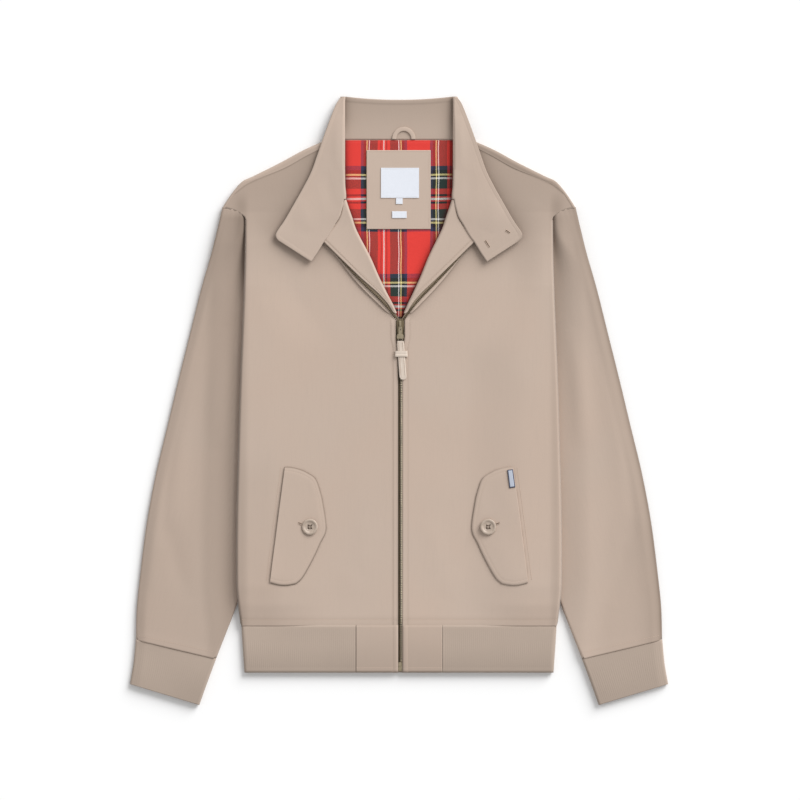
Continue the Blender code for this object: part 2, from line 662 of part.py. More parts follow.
def cuff(side):
    rows = []
    for row in range(len(CUFF["outer_x"])):
        rows.append(tube_row(CUFF, row, 0.0, cuff_height, RIB_WALL / 2, RIB_WALL))
    return sheet(f"cuff_{hand(side)}", rows, RIB_WALL, rib_cloth(), side, tube=True)


# ------------------------------------------------------------------ the hem band
HEM_ROWS = (HEM_SEAM_Y - SEAM, -322.0, HEM_Y)
TAB_X = 55.9
HEM_TOP_Z = 6.4
HEM_BULGE = 2.6


def hem_rib():
    """The rib band, from the left tab round the back to the right one."""
    rows = []
    for y in HEM_ROWS:
        edge = between(SIDE, y)
        bend = fold((edge, y), (-1, 0), RIB_WALL / 2, HEM_TOP_Z, HEM_BULGE, RIB_WALL)
        inner = bend[0][0]
        front_part = [(mix(TAB_X + SEAM, inner, s), y, HEM_TOP_Z) for s in (0.0, 0.35, 0.7)]
        half = front_part + bend + [(inner * s, y, RIB_WALL / 2) for s in (0.66, 0.33)]
        other = [(-x, yy, z) for x, yy, z in half[::-1]]
        rows.append(half + [(0.0, y, RIB_WALL / 2)] + other)
    return sheet("hem_rib", rows, RIB_WALL, rib_cloth())


def hem_tab(side):
    rows = [[(ZIP_GAP + (TAB_X - ZIP_GAP) * s, y, HEM_TOP_Z) for s in (0, 0.33, 0.67, 1)] for y in HEM_ROWS]
    return sheet(f"hem_tab_{hand(side)}", rows, RIB_WALL, shell_cloth(), side, over=True)


# ------------------------------------------------------------------ the collar
WING_SHARES = (0.0, 0.18, 0.38, 0.58, 0.76, 0.9, 1.0)
COLLAR_MIDDLE = 9  # points across the back of the neck
RING_BULGE = 1.6
ROLL_BULGE = 1.6


def collar_half(row):
    """One row of the collar, from the wing's outer edge to the side of the back of the neck."""
    t = COLLAR_WING
    inner = Vector((t["inner_x"][row], t["inner_y"][row]))
    outer = Vector((t["outer_x"][row], t["outer_y"][row]))
    high, tip = t["inner_z"][row], t["outer_z"][row]
    rolled = row < len(t["fold_x"])
    start = inner + Vector((COLLAR_WALL / 2 + ROLL_BULGE, 0)) if rolled else inner
    wing = []
    for s in reversed(WING_SHARES):
        place = start.lerp(outer, s)
        wing.append((place.x, place.y, mix(high, tip, s)))
    if not rolled:
        return wing + [None] * (4 + 1 + 4)
    low = t["fold_z"][row]
    wing += fold(inner, (1, 0), low, high, ROLL_BULGE, COLLAR_WALL)[1:]
    far = t["fold_x"][row]
    if far is None:
        return wing + [None] * 5
    if row >= COLLAR_RING_ROWS:
        return wing + [(far, inner.y, low)] + [None] * 4
    ring = fold((far, inner.y), (-1, 0), COLLAR_WALL / 2, low, RING_BULGE, COLLAR_WALL)
    return wing + ring


def collar():
    rows = []
    for row in range(len(COLLAR_WING["inner_x"])):
        half = collar_half(row)
        middle = [None] * COLLAR_MIDDLE
        if row < COLLAR_RING_ROWS:
            share = (COLLAR_WING["inner_y"][row] - COLLAR_Y) / (COLLAR_WING["inner_y"][0] - COLLAR_Y)
            end = half[-1][0]
            middle = []
            for k in range(1, COLLAR_MIDDLE + 1):
                x = mix(end, -end, k / (COLLAR_MIDDLE + 1))
                top = mix(COLLAR_TOP_Y, COLLAR_WING["inner_y"][0], min(1.0, abs(x) / 70) ** 2)
                y = mix(COLLAR_Y + SEAM, top, share)
                middle.append((x, y, COLLAR_WALL / 2))
            half = [(x, max(y, COLLAR_Y + SEAM), z) for x, y, z in half]
        other = [None if p is None else (-p[0], p[1], p[2]) for p in half[::-1]]
        rows.append(half + middle + other)
    return sheet("collar", rows, COLLAR_WALL, shell_cloth())


# ------------------------------------------------------------------ lining, patch, labels and loop
LINING = dict(
    y=(108.6, 127.0, 152.0, 180.0, 221.7, 261.9, 300.0, 339.6),
    x=(12.0, 20.0, 33.0, 46.0, 66.0, 78.0, 80.0, 80.0),
)
PATCH = (-42.1, 224.0, 41.1, 326.5)
MAIN_LABEL = (-23.4, 264.6, 26.0, 303.6)
SIZE_TAB = (-3.9, 256.6, 4.7, 264.2)
SMALL_LABEL = (-9.1, 238.3, 9.9, 247.1)


def flat_piece(name, box, height, wall, made_of, splits=2):
    x0, y0, x1, y1 = box
    steps = [k / splits for k in range(splits + 1)]
    rows = [[(mix(x0, x1, s), mix(y0, y1, t), height) for s in steps] for t in steps]
    return sheet(name, rows, wall, made_of)


def inside_back():
    rows = []
    for y, x in zip(LINING["y"], LINING["x"]):
        rows.append([(x * s, y, LINING_Z) for s in (-1, -0.6, -0.2, 0.2, 0.6, 1)])
    sheet("back_lining", rows, THIN, tartan_cloth())
    flat_piece("label_patch", PATCH, PATCH_Z, THIN, shell_cloth(), 3)
    flat_piece("main_label", MAIN_LABEL, LABEL_Z, LABEL_WALL, label_cloth())
    flat_piece("size_tab", SIZE_TAB, LABEL_Z, LABEL_WALL, label_cloth(), 1)
    flat_piece("small_label", SMALL_LABEL, LABEL_Z, LABEL_WALL, label_cloth(), 1)


LOOP_X, LOOP_REACH, LOOP_RISE, LOOP_WIDE = 6.2, 12.5, 13.5, 2.6


def hanger_loop():
    """A narrow strip in an arch, its ends in the back neck seam."""
    rows = []
    for k in range(13):
        a = radians(180 * k / 12)
        round_out = Vector((cos(a), sin(a)))
        middle = Vector((LOOP_X + LOOP_REACH * cos(a), COLLAR_Y + 0.8 + LOOP_RISE * sin(a)))
        ends = [middle - round_out * LOOP_WIDE, middle + round_out * LOOP_WIDE]
        rows.append([(p.x, max(p.y, COLLAR_Y + 0.8), 3.2) for p in ends])
    return sheet("hanger_loop", rows, 1.2, shell_cloth())


# ------------------------------------------------------------------ pocket flaps and small things
FLAP_LIFT = SHELL + 0.7  # from the front's cloth to the flap's, middle to middle
FLAP_SHARES = (0.0, 0.25, 0.5, 0.75, 1.0)


def flap_height(x, y):
    return front_height(x, y) + FLAP_LIFT


def pocket_flap(side):
    rows = []
    for row in range(len(FLAP["sewn_x"])):
        sewn = Vector((FLAP["sewn_x"][row], FLAP["sewn_y"][row]))
        free = Vector((FLAP["free_x"][row], FLAP["free_y"][row]))
        points = []
        for s in FLAP_SHARES:
            place = sewn.lerp(free, s) + Vector((0, FLAP["bulge"][row])) * sin(pi * s)
            points.append((place.x, place.y, flap_height(place.x, place.y)))
        rows.append(points)
    return sheet(f"pocket_flap_{hand(side)}", rows, SHELL, shell_cloth(), side)


def buttons():
    x, y = FLAP_BUTTON
    seat = max(flap_height(x + dx, y) for dx in (-10, 0, 10)) + SHELL / 2 + 0.3
    for side in (1, -1):
        place = (side * x, y, seat)
        button(f"flap_button_{hand(side)}", place, BUTTON_DIAMETER, BUTTON_THICK, button_resin())
    for name, (x, y) in zip(("collar_button_low", "collar_button_high"), COLLAR_BUTTONS):
        seat = front_height(x - 8, y) + SHELL / 2 + 0.35
        button(name, (x, y, seat), COLLAR_BUTTON_DIAMETER, 2.0, button_resin())


def side_tag():
    """A woven tag, folded into the sewn edge of the left flap."""
    a, b, c, d = (Vector(p) for p in SIDE_TAG)
    rows = []
    for t in (0.0, 0.5, 1.0):
        ends = (a.lerp(d, t), b.lerp(c, t))
        rows.append([(p.x, p.y, flap_height(p.x, p.y) + SHELL / 2 + 0.3 + LABEL_WALL / 2) for p in ends])
    return sheet("side_tag", rows, LABEL_WALL, label_cloth())


def clear_scene():
    for old in list(bpy.data.objects):
        bpy.data.objects.remove(old, do_unlink=True)


clear_scene()
back()
inside_back()
hanger_loop()
collar()
for hand_side in (1, -1):
    sleeve(hand_side)
    cuff(hand_side)
    front(hand_side)
    facing(hand_side)
    open_zip(hand_side)
    zip_tape(hand_side)
    hem_tab(hand_side)
    pocket_flap(hand_side)
hem_rib()
zip_metal()
zip_pull()
buttons()
side_tag()
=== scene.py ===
"""The looks of a harrington jacket that lies flat on its back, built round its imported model.

The tables are in millimetres, and MM turns them into metres. +Z is up from the surface it lies on,
+Y runs from hem to collar, and +X is the wearer's left.
"""

from math import radians

import bmesh
import bpy
import numpy as np
from mathutils import Matrix, Vector


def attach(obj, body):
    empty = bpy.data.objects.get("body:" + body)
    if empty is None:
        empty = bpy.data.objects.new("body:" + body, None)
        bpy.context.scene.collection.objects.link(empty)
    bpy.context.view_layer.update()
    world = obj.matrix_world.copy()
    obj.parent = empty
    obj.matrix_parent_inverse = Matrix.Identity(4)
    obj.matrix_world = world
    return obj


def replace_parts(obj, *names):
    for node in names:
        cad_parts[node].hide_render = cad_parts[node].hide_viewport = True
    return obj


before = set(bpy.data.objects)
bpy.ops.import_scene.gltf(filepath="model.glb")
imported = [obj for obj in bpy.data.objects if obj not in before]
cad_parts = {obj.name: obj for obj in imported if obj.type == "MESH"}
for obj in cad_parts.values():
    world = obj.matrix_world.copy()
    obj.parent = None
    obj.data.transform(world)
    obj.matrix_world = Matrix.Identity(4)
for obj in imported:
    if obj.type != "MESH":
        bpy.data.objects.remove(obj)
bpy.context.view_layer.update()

# ------------------------------------------------------------------ the surface and the light
# The jacket lies on a plain white table. Light comes evenly from all round, and one soft sun from
# the upper right gives the cloth its shape and throws a faint shadow to the lower left.
MM = 0.001
VIEW_WIDTH = 1.040  # what the camera's frame takes in; the view and the table are in metres
VIEW_MIDDLE = (0.0013, 0.0020)
CAMERA_HEIGHT = 6.0
VIEW_DEPTH = 50.0
SENSOR = 36.0
LIGHT_FROM = (0.54, 0.62, 0.47)
SUN_STRENGTH, SUN_WIDTH = 3.35, radians(40)
ROUND_ABOUT = 0.55  # the strength of the light from all round
TABLE_HALF = 4.5
TABLE_DROP = 0.0003


class Wire:
    """A socket in a material's nodes. Sums on it add Math nodes, and node() adds any other node."""

    def __init__(self, tree, socket=None):
        self.tree = tree
        self.socket = socket

    def node(self, kind, settings=None, inputs=None, output=0):
        made = self.tree.nodes.new(kind)
        for name, value in (settings or {}).items():
            if name == "stops":
                self.fill_ramp(made.color_ramp, value)
            elif name == "interpolation":
                made.color_ramp.interpolation = value
            else:
                setattr(made, name, value)
        for name, value in (inputs or {}).items():
            if isinstance(value, Wire):
                self.tree.links.new(value.socket, made.inputs[name])
            else:
                made.inputs[name].default_value = value
        return Wire(self.tree, made.outputs[output])

    @staticmethod
    def fill_ramp(ramp, stops):
        while len(ramp.elements) > 1:
            ramp.elements.remove(ramp.elements[-1])
        ramp.elements[0].position = stops[0][0]
        ramp.elements[0].color = (*stops[0][1], 1.0)
        for place, colour in stops[1:]:
            ramp.elements.new(place).color = (*colour, 1.0)

    def maths(self, operation, *values):
        return self.node("ShaderNodeMath", {"operation": operation}, dict(enumerate(values)))

    def __add__(self, other):
        return self.maths("ADD", self, other)

    def __sub__(self, other):
        return self.maths("SUBTRACT", self, other)

    def __rsub__(self, other):
        return self.maths("SUBTRACT", other, self)

    def __mul__(self, other):
        return self.maths("MULTIPLY", self, other)

    def __truediv__(self, other):
        return self.maths("DIVIDE", self, other)

    __radd__ = __add__
    __rmul__ = __mul__

    def sine(self):
        return self.maths("SINE", self)

    def within(self, low, high):
        """0 below low, 1 above high, and a soft step between them."""
        settings = {"interpolation_type": "SMOOTHSTEP"}
        inputs = {"Value": self, "From Min": low, "From Max": high}
        return self.node("ShaderNodeMapRange", settings, inputs)


def new_material(name):
    """A material with its Principled shader, and a Wire to make its other nodes with."""
    made = bpy.data.materials.new(name)
    made.use_nodes = True
    return made, made.node_tree.nodes["Principled BSDF"], Wire(made.node_tree)


def feed(shader, sockets):
    """Sets constants, and links Wires, on a shader's sockets."""
    for name, value in sockets.items():
        if isinstance(value, Wire):
            value.tree.links.new(value.socket, shader.inputs[name])
        else:
            shader.inputs[name].default_value = value


def mix_colours(share, a, b):
    """Two colours mixed by share, which is a Wire."""
    a, b = (c if isinstance(c, Wire) else (*c, 1.0) for c in (a, b))
    return share.node("ShaderNodeMix", {"data_type": "RGBA"}, {0: share, 6: a, 7: b}, output=2)


def axes(place):
    """The three parts of a place, in millimetres."""
    parts = place.node("ShaderNodeSeparateXYZ", None, {0: place}).socket.node
    return [Wire(place.tree, socket) * (1 / MM) for socket in parts.outputs]


def noise(place, scale, detail, **more):
    """Smooth noise at a place; scale counts its grains to a metre."""
    inputs = {"Vector": place, "Scale": scale, "Detail": detail, **more}
    return place.node("ShaderNodeTexNoise", None, inputs)


def bump(height, strength, distance):
    """The Normal of a surface with this relief."""
    inputs = {"Strength": strength, "Distance": distance, "Height": height}
    return height.node("ShaderNodeBump", None, inputs)


def turned_by(place, angle):
    """A place on cloth that lies turned in its own plane."""
    settings = {"rotation_type": "Z_AXIS"}
    return place.node("ShaderNodeVectorRotate", settings, {"Vector": place, "Angle": angle})


def painted(wire, name):
    """What is stored on the points under this name."""
    return wire.node("ShaderNodeAttribute", {"attribute_name": name}, output=2)


def times(colour, factor):
    """A colour made darker or lighter."""
    return tuple(min(1.0, c * factor) for c in colour)


camera = bpy.data.objects.new("camera", bpy.data.cameras.new("camera"))
bpy.context.scene.collection.objects.link(camera)
camera.location = (*VIEW_MIDDLE, CAMERA_HEIGHT)
camera.data.sensor_width = SENSOR
camera.data.lens = SENSOR * CAMERA_HEIGHT / VIEW_WIDTH
camera.data.clip_end = VIEW_DEPTH
bpy.context.scene.camera = camera
bpy.context.scene.view_settings.view_transform = "Standard"

surroundings = bpy.data.worlds.new("surroundings")
bpy.context.scene.world = surroundings
surroundings.use_nodes = True
background = surroundings.node_tree.nodes["Background"]
feed(background, {"Color": (1.0, 1.0, 1.0, 1.0), "Strength": ROUND_ABOUT})

sun = bpy.data.lights.new("window_light", "SUN")
sun.energy = SUN_STRENGTH
sun.angle = SUN_WIDTH
window_light = bpy.data.objects.new("window_light", sun)
bpy.context.scene.collection.objects.link(window_light)
window_light.rotation_euler = Vector(LIGHT_FROM).to_track_quat("Z", "Y").to_euler()

white_table, table_shader, wire = new_material("white_table")
speckle = wire.node("ShaderNodeTexNoise", None, {"Scale": 40.0, "Detail": 2.0})
feed(table_shader, {
    "Base Color": mix_colours(speckle, (0.93, 0.93, 0.93), (0.95, 0.95, 0.95)),
    "Roughness": 0.9,
    "Specular IOR Level": 0.1,
})
table_mesh = bpy.data.meshes.new("table_top")
ROUND_TABLE = ((-1, -1), (1, -1), (1, 1), (-1, 1))
table_corners = [(x * TABLE_HALF, y * TABLE_HALF, -TABLE_DROP) for x, y in ROUND_TABLE]
table_mesh.from_pydata(table_corners, [], [(0, 1, 2, 3)])
table_mesh.materials.append(white_table)
table_top = bpy.data.objects.new("table_top", table_mesh)
bpy.context.scene.collection.objects.link(table_top)

# ------------------------------------------------------------------ the back
# One panel of washed cotton twill, from side seam to side seam. Over each shoulder it wraps
# forward in a narrow strip, and its forward seam is topstitched beside the front.
COLLAR_Y = 340.0
SHELL = 1.6  # walls of the cloths
BACK_WALL = 2.0
BACK_Z = 1.0  # heights of the middles of the layers
FRONT_Z = 5.5
SHOULDER_Z = 7.0
UNDER_REACH = 28.0  # the front runs this far under, to its side seam
SEAM = 0.35
SIDE = dict(  # the folded side of the body
    y=(-352.0, -289.8, -271, -241, -151, -72, 28, 167, 246),
    x=(200.8, 204.8, 207.3, 210.3, 210.3, 208.4, 205.4, 200.1, 198.9),
)
SIDE_TOP = dict(
    y=(-352.0, -289.8, -264, -240, 150, 205, 246),
    z=(6.4, 6.6, 11.0, 12.6, 12.6, 10.9, 7.9),
)
SIDE_UNDER = dict(y=(-352.0, -289.8, -264, -250), z=(1.2, 1.0, 6.3, 6.6))
SLEEVE = dict(  # the sleeve's outer and inner edges, from cuff to armhole
    outer_x=(341.9, 340.6, 335.4, 327.6, 315.9, 300.3, 286.0, 271.7, 257.4, 244.5, 236.5, 230.0),
    outer_y=(-308.4, -265.9, -216.5, -156.7, -94.2, -29.2, 30.6, 87.8, 145.0, 190.0, 222.0, 250.0),
    inner_x=(237.2, 216.6, 200.2, 182.0, 165.1, 149.5, 139.0, 133.4, 132.8, 133.4, 134.2, 135.0),
    inner_y=(-333.1, -280.2, -236.0, -189.2, -143.7, -99.5, -58.0, -22.0, 8.5, 30.0, 48.0, 64.0),
)
SHOULDER = dict(  # the fold over the shoulder, and the forward seam on the front
    fold_x=(91.0, 100.1, 124.8, 154.7, 188.5, 203.5, 215.2, 222.5, 229.3),
    fold_y=(341.0, 337.4, 326.3, 310.1, 293.2, 286.0, 273.0, 262.6, 251.7),
    seam_x=(88.5, 95.5, 119.0, 148.0, 180.0, 198.2, 212.0, 219.2, 225.3),
    seam_y=(333.0, 330.6, 318.9, 302.6, 289.6, 281.2, 270.6, 260.5, 250.5),
    bulge=(3.0, 3.0, 3.0, 3.0, 3.0, 2.6, 1.3, 1.3, 1.3),
)
BACK_RISE = (34.0, 10.0)  # it climbs over the sleeve between these distances from its edge
CAP_FROM, CAP_TO, CAP_RISE = (230.0, 250.0), (135.0, 64.0), 57.0  # the armhole's seam
STRIP_GAP = 0.6
TWILL = (0.521, 0.414, 0.341)  # the cloth's colour where it is new
# DEEPER is the colour that the painted shade darkens the cloth towards
WARMER, DEEPER = (1.02, 0.985, 0.965), (0.42, 0.40, 0.38)  # its colour where sunned or in shade
MIRROR = np.array([-1, 1, 1])


def mix(a, b, share):
    return a + (b - a) * share


def ease(start, end, at):
    """0 before start, 1 after end, and a soft step between them."""
    t = np.clip((at - start) / (end - start), 0.0, 1.0)
    return t * t * (3 - 2 * t)


def bell(off, width):
    """1 in the middle, fading to both sides."""
    return np.exp(-((off / width) ** 2))


def fading(beyond, reach):
    """1 up to an edge, and less and less beyond it."""
    return np.exp(-np.clip(beyond, 0, None) / reach)


def nearest(values, wanted):
    """The index of the value that comes nearest."""
    return np.argmin(np.abs(values - wanted))


def laid(x, y, level):
    """A grid of points all at one level."""
    return np.stack([x, y, np.full_like(x, level)], -1)


def with_height(plan, height):
    """The points of a plan, each at its height."""
    return np.concatenate([plan, height[..., None]], -1)


def unit(run):
    """Directions cut to a length of 1."""
    return run / np.linalg.norm(run, axis=-1, keepdims=True)


def on_right(run):
    """Directions square to others, on their right."""
    return np.stack([run[..., 1], -run[..., 0]], -1)


def along(column, at):
    """A table's column at fractional rows, on a smooth curve through its values."""
    values = np.asarray(column, float)
    values = np.concatenate([[2 * values[0] - values[1]], values, [2 * values[-1] - values[-2]]])
    k = np.clip(np.floor(at).astype(int), 0, len(column) - 2)
    t = np.asarray(at, float) - k
    a, b, c, d = (values[k + n] for n in range(4))
    return b + 0.5 * t * (c - a + t * (2 * a - 5 * b + 4 * c - d + t * (3 * (b - c) + d - a)))


def at_height(table, y):
    """How far out a table's line lies at heights y."""
    return along(table["x"], np.interp(y, table["y"], np.arange(len(table["y"]))))


def points_of(table, at, x="x", y="y"):
    """Points of an outline at fractional rows."""
    return np.stack([along(table[x], at), along(table[y], at)], -1)


def on_line(table, at, read="x", by="y"):
    """A table's column read off straight between its rows, at heights."""
    return np.interp(at, table[by], table[read])


def place_on(table, x, y, at):
    """Points of an outline at fractional rows, and the directions square to it, on its right."""
    at = np.asarray(at, float)
    last = len(table[x]) - 1
    ahead, behind = np.minimum(at + 0.3, last), np.maximum(at - 0.3, 0.0)
    run = unit(points_of(table, ahead, x, y) - points_of(table, behind, x, y))
    return points_of(table, at, x, y), on_right(run)


def sleeve_edge(y):
    return on_line(SLEEVE, y, "inner_x", "inner_y")


def under_height(x, y):
    """The middle of the under layer, which rises from the table to lie over the sleeve."""
    over = ease(sleeve_edge(y) - BACK_RISE[0], sleeve_edge(y) - BACK_RISE[1], np.abs(x))
    return mix(BACK_Z, on_line(SIDE_UNDER, y, "z"), over)


def front_height(x, y):
    """The middle of the fronts' cloth: low along the zip, raised where it lies over the sleeves."""
    upper = ease(60, 170, y)
    raised = ease(mix(85, 140, upper), mix(165, 192, upper), np.abs(x))
    low = mix(FRONT_Z, SHOULDER_Z, ease(225, 262, y))
    return mix(low, np.maximum(low, on_line(SIDE_TOP, y, "z")), raised)


def cap(share, out):
    """The seam of sleeve and body, from the shoulder to the armpit, moved out of the sleeve."""
    share = np.asarray(share, float)
    (x0, y0), (x1, y1) = CAP_FROM, CAP_TO
    here = np.stack([mix(x0, x1, share), mix(y0, y1, share) + CAP_RISE * np.sin(np.pi * share)], -1)
    rise = y1 - y0 + CAP_RISE * np.pi * np.cos(np.pi * share)
    return here + on_right(unit(np.stack([np.full_like(share, x1 - x0), rise], -1))) * out


def arc(edge, inward, low, high, bulge, wall, steps=8):
    """Points round folded edges, from the upper layer to the lower one: (rows, steps + 1, 3)."""
    a = np.radians(np.linspace(90, -90, steps + 1))
    low, high, bulge = (np.broadcast_to(v, len(edge))[:, None] for v in (low, high, bulge))
    reach = wall / 2 + bulge * (1 - np.cos(a))
    plan = edge[:, None, :] + np.broadcast_to(inward, edge.shape)[:, None, :] * reach[..., None]
    height = low + (high - low) * (1 + np.sin(a)) / 2
    return with_height(plan, height)


def lifted(grid, amount):
    """The grid with each point moved out along the cloth's own normal."""
    across, up = np.gradient(grid, axis=1), np.gradient(grid, axis=0)
    normal = np.cross(across, up)
    length = np.linalg.norm(normal, axis=-1, keepdims=True)
    return grid + normal / np.where(length > 1e-9, length, 1.0) * np.asarray(amount)[..., None]


def tucked(grid, reach, drop):
    """Adds rows that carry a piece's last edge on and down, out of sight under its neighbour."""
    run = grid[-1] - grid[-4]
    run[..., 2] = 0
    run /= np.maximum(np.linalg.norm(run, axis=-1, keepdims=True), 1e-6)
    steps = [(0.25, 0.0), (0.5, 0.45), (1.0, 1.0)]
    rows = [grid[-1] + run * reach * a - np.array([0, 0, drop]) * b for a, b in steps]
    return np.concatenate([grid, np.stack(rows)])


def faces_of(rows, columns):
    """The numbers of a grid's points, and the faces between them."""
    corner = np.arange(rows * columns).reshape(rows, columns)
    faces = [corner[:-1, :-1], corner[:-1, 1:], corner[1:, 1:], corner[1:, :-1]]
    return corner, np.stack(faces, -1).reshape(-1, 4)


def new_mesh(name, points, faces):
    """A mesh through points in millimetres."""
    mesh = bpy.data.meshes.new(name)
    mesh.from_pydata(np.asarray(points) * MM, [], faces)
    return mesh


def cloth(name, grids, wall, material, flat, side=1, closed=False, body="jacket"):
    """A piece of cloth through grids of points, which are (rows, columns, 3).

    A point is not a number where the cloth is cut away. flat is the width and length that the
    piece was cut to, in millimetres; it is not used.
    """
    points, faces, start = [], [], 0
    for grid in grids:
        if closed:
            grid = np.concatenate([grid, grid[:, :1]], axis=1)
        rows, columns, _ = grid.shape
        quads = faces_of(rows, columns)[1]
        line = grid.reshape(-1, 3)
        quads = quads[~np.isnan(line[quads]).any(axis=(1, 2))]
        points.append(np.nan_to_num(line))
        faces.append(quads + start)
        start += rows * columns
    mesh = new_mesh(name, np.concatenate(points) * (side, 1, 1), np.concatenate(faces).tolist())
    form = bmesh.new()
    form.from_mesh(mesh)
    bmesh.ops.delete(form, geom=[v for v in form.verts if not v.link_faces], context="VERTS")
    bmesh.ops.remove_doubles(form, verts=form.verts, dist=0.02 * MM)
    if side < 0:
        bmesh.ops.reverse_faces(form, faces=form.faces)
    form.to_mesh(mesh)
    form.free()
    piece = show(name, mesh, material, body)
    solid = piece.modifiers.new("wall", "SOLIDIFY")
    solid.thickness = wall * MM
    solid.offset = 0.0
    if flat:
        size = tuple(v * MM for v in flat)
    return piece


shown = []


def show(name, mesh, material, body="jacket"):
    """Puts a mesh in the scene with its material, riding on a body of the model."""
    mesh.materials.append(material)
    mesh.shade_smooth()
    piece = bpy.data.objects.new(name, mesh)
    bpy.context.scene.collection.objects.link(piece)
    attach(piece, body)
    shown.append(piece)
    return piece


def stations(length, step, marks=()):
    """Distances from 0 to length, a step apart, and closer together at each mark."""
    plain = np.linspace(0.0, length, max(2, int(round(length / step)) + 1))
    for mark in marks:
        keep = np.abs(plain - mark) > 1.7
        keep[0] = keep[-1] = True
        extra = [mark + d for d in (-1.3, -0.6, 0.0, 0.6, 1.3) if 0.0 < mark + d < length]
        plain = np.sort(np.concatenate([plain[keep], extra]))
    return plain


def stitched(distance, at, depth, ridge):
    """Relief beside a seam: the turned in cloth makes a low ridge, and the stitches a groove."""
    groove = bell(distance - at, 0.75)
    plateau = ease(-0.2, 1.2, distance) * (1 - ease(at - 0.4, at + 1.6, distance))
    return ridge * plateau - depth * groove


def twill(name, colour, turn=0.0):
    """Washed cotton twill: a fine diagonal rib, faint slubs and a soft, uneven fade."""
    made, shader, wire = new_material(name)
    place = wire.node("ShaderNodeTexCoord", output=3)
    turned = turned_by(place, turn)
    x, y, z = axes(turned)
    rib = ((x + y + z) * 8.2).sine()
    yarn = ((y - x * 0.35) * 13.0).sine()
    fine = noise(place, 900.0, 3.0)
    slub_place = wire.node("ShaderNodeCombineXYZ", None, {0: x * 0.9, 1: y * 0.035, 2: z * 0.2})
    slub = noise(slub_place, 1.0, 3.0)
    broad = noise(place, 7.0, 3.0)
    # The cloth is darkened by the painted shade stored as hollow, and lightened where its edges are
    # rubbed and where highlights are painted, stored as edge
    shade = painted(wire, "hollow")
    worn = painted(wire, "edge")
    warm, deep = (tuple(np.multiply(colour, by).tolist()) for by in (WARMER, DEEPER))
    base = mix_colours(broad.within(0.3, 0.7) * 0.6, colour, warm)
    uneven = slub.within(0.45, 0.8) + rib * 0.25 + fine.within(0.3, 0.8)
    base = mix_colours(uneven * 0.22, base, times(colour, 0.88))
    base = mix_colours(worn * 0.5, base, times(colour, 1.22))
    base = mix_colours(shade, base, deep)
    height = rib * 0.45 + yarn * 0.2 + fine * 0.45 + slub * 0.12
    feed(shader, {
        "Base Color": base,
        "Roughness": 0.86 - fine * 0.1 + broad * 0.08,
        "Specular IOR Level": 0.25,
        "Sheen Weight": 0.12,
        "Sheen Roughness": 0.6,
        "Normal": bump(height, 0.3, 0.00006),
    })
    return made


def paint_shade_wear_and_highlights(piece, side, hollow, edge=None):
    """Stores each point's painted shade, and how far rubbed edges and painted highlights lighten
    it, for the finish.
    """
    mesh = piece.data
    place = np.empty(len(mesh.vertices) * 3)
    mesh.vertices.foreach_get("co", place)
    x, y, z = (place.reshape(-1, 3) / MM).T
    for name, rule in (("hollow", hollow), ("edge", edge)):
        if rule is not None:
            values = mesh.attributes.new(name, "FLOAT", "POINT")
            values.data.foreach_set("value", np.clip(rule(x * side, y, z), 0, 1).astype(np.float32))


BACK_LOW_Y = stations(333.8, 8.0) - 289.8  # up to just below the armpit
BACK_CAPS = (0.965, 0.86, 0.7, 0.55, 0.42, 0.3, 0.2, 0.12)
BACK_MIDDLES = (72, 108, 150, 188, 218, 245, 272, 300)
NECK_COLUMNS = (0.0, 24.0, 48.0, 70.0)
CLIMB = (34.0, 26.0, 18.0, 10.0)


def shoulder_ring(at):
    """The back's strip at fractional rows of SHOULDER, from the back panel round to the seam."""
    edge, inward = place_on(SHOULDER, "fold_x", "fold_y", at)
    seam, _ = place_on(SHOULDER, "seam_x", "seam_y", at)
    seam = seam - inward * STRIP_GAP
    top = front_height(seam[:, 0], seam[:, 1])
    bend = arc(edge, inward, BACK_Z, top, along(SHOULDER["bulge"], at), BACK_WALL)[:, ::-1]
    last = bend[:, -1]
    strip = [mix(last, with_height(seam, top), s) for s in (0.25, 0.45, 0.6, 0.75, 0.88, 1.0)]
    return np.concatenate([bend, np.stack(strip, 1)], axis=1)


def back_columns(y, far, at):
    """Where the back's columns lie at a height y: closest where it climbs over the sleeve."""
    count = len(NECK_COLUMNS) + len(SHOULDER["fold_x"])
    wanted = list(NECK_COLUMNS) + [sleeve_edge(y) - reach for reach in CLIMB]
    rest = count - len(wanted)
    wanted = [min(x, far - 3.0 * (count - 1 - k)) for k, x in enumerate(wanted)]
    wanted += [mix(wanted[-1], far, (k + 1) / rest) for k in range(rest)]
    return np.interp(at, np.arange(count), wanted)


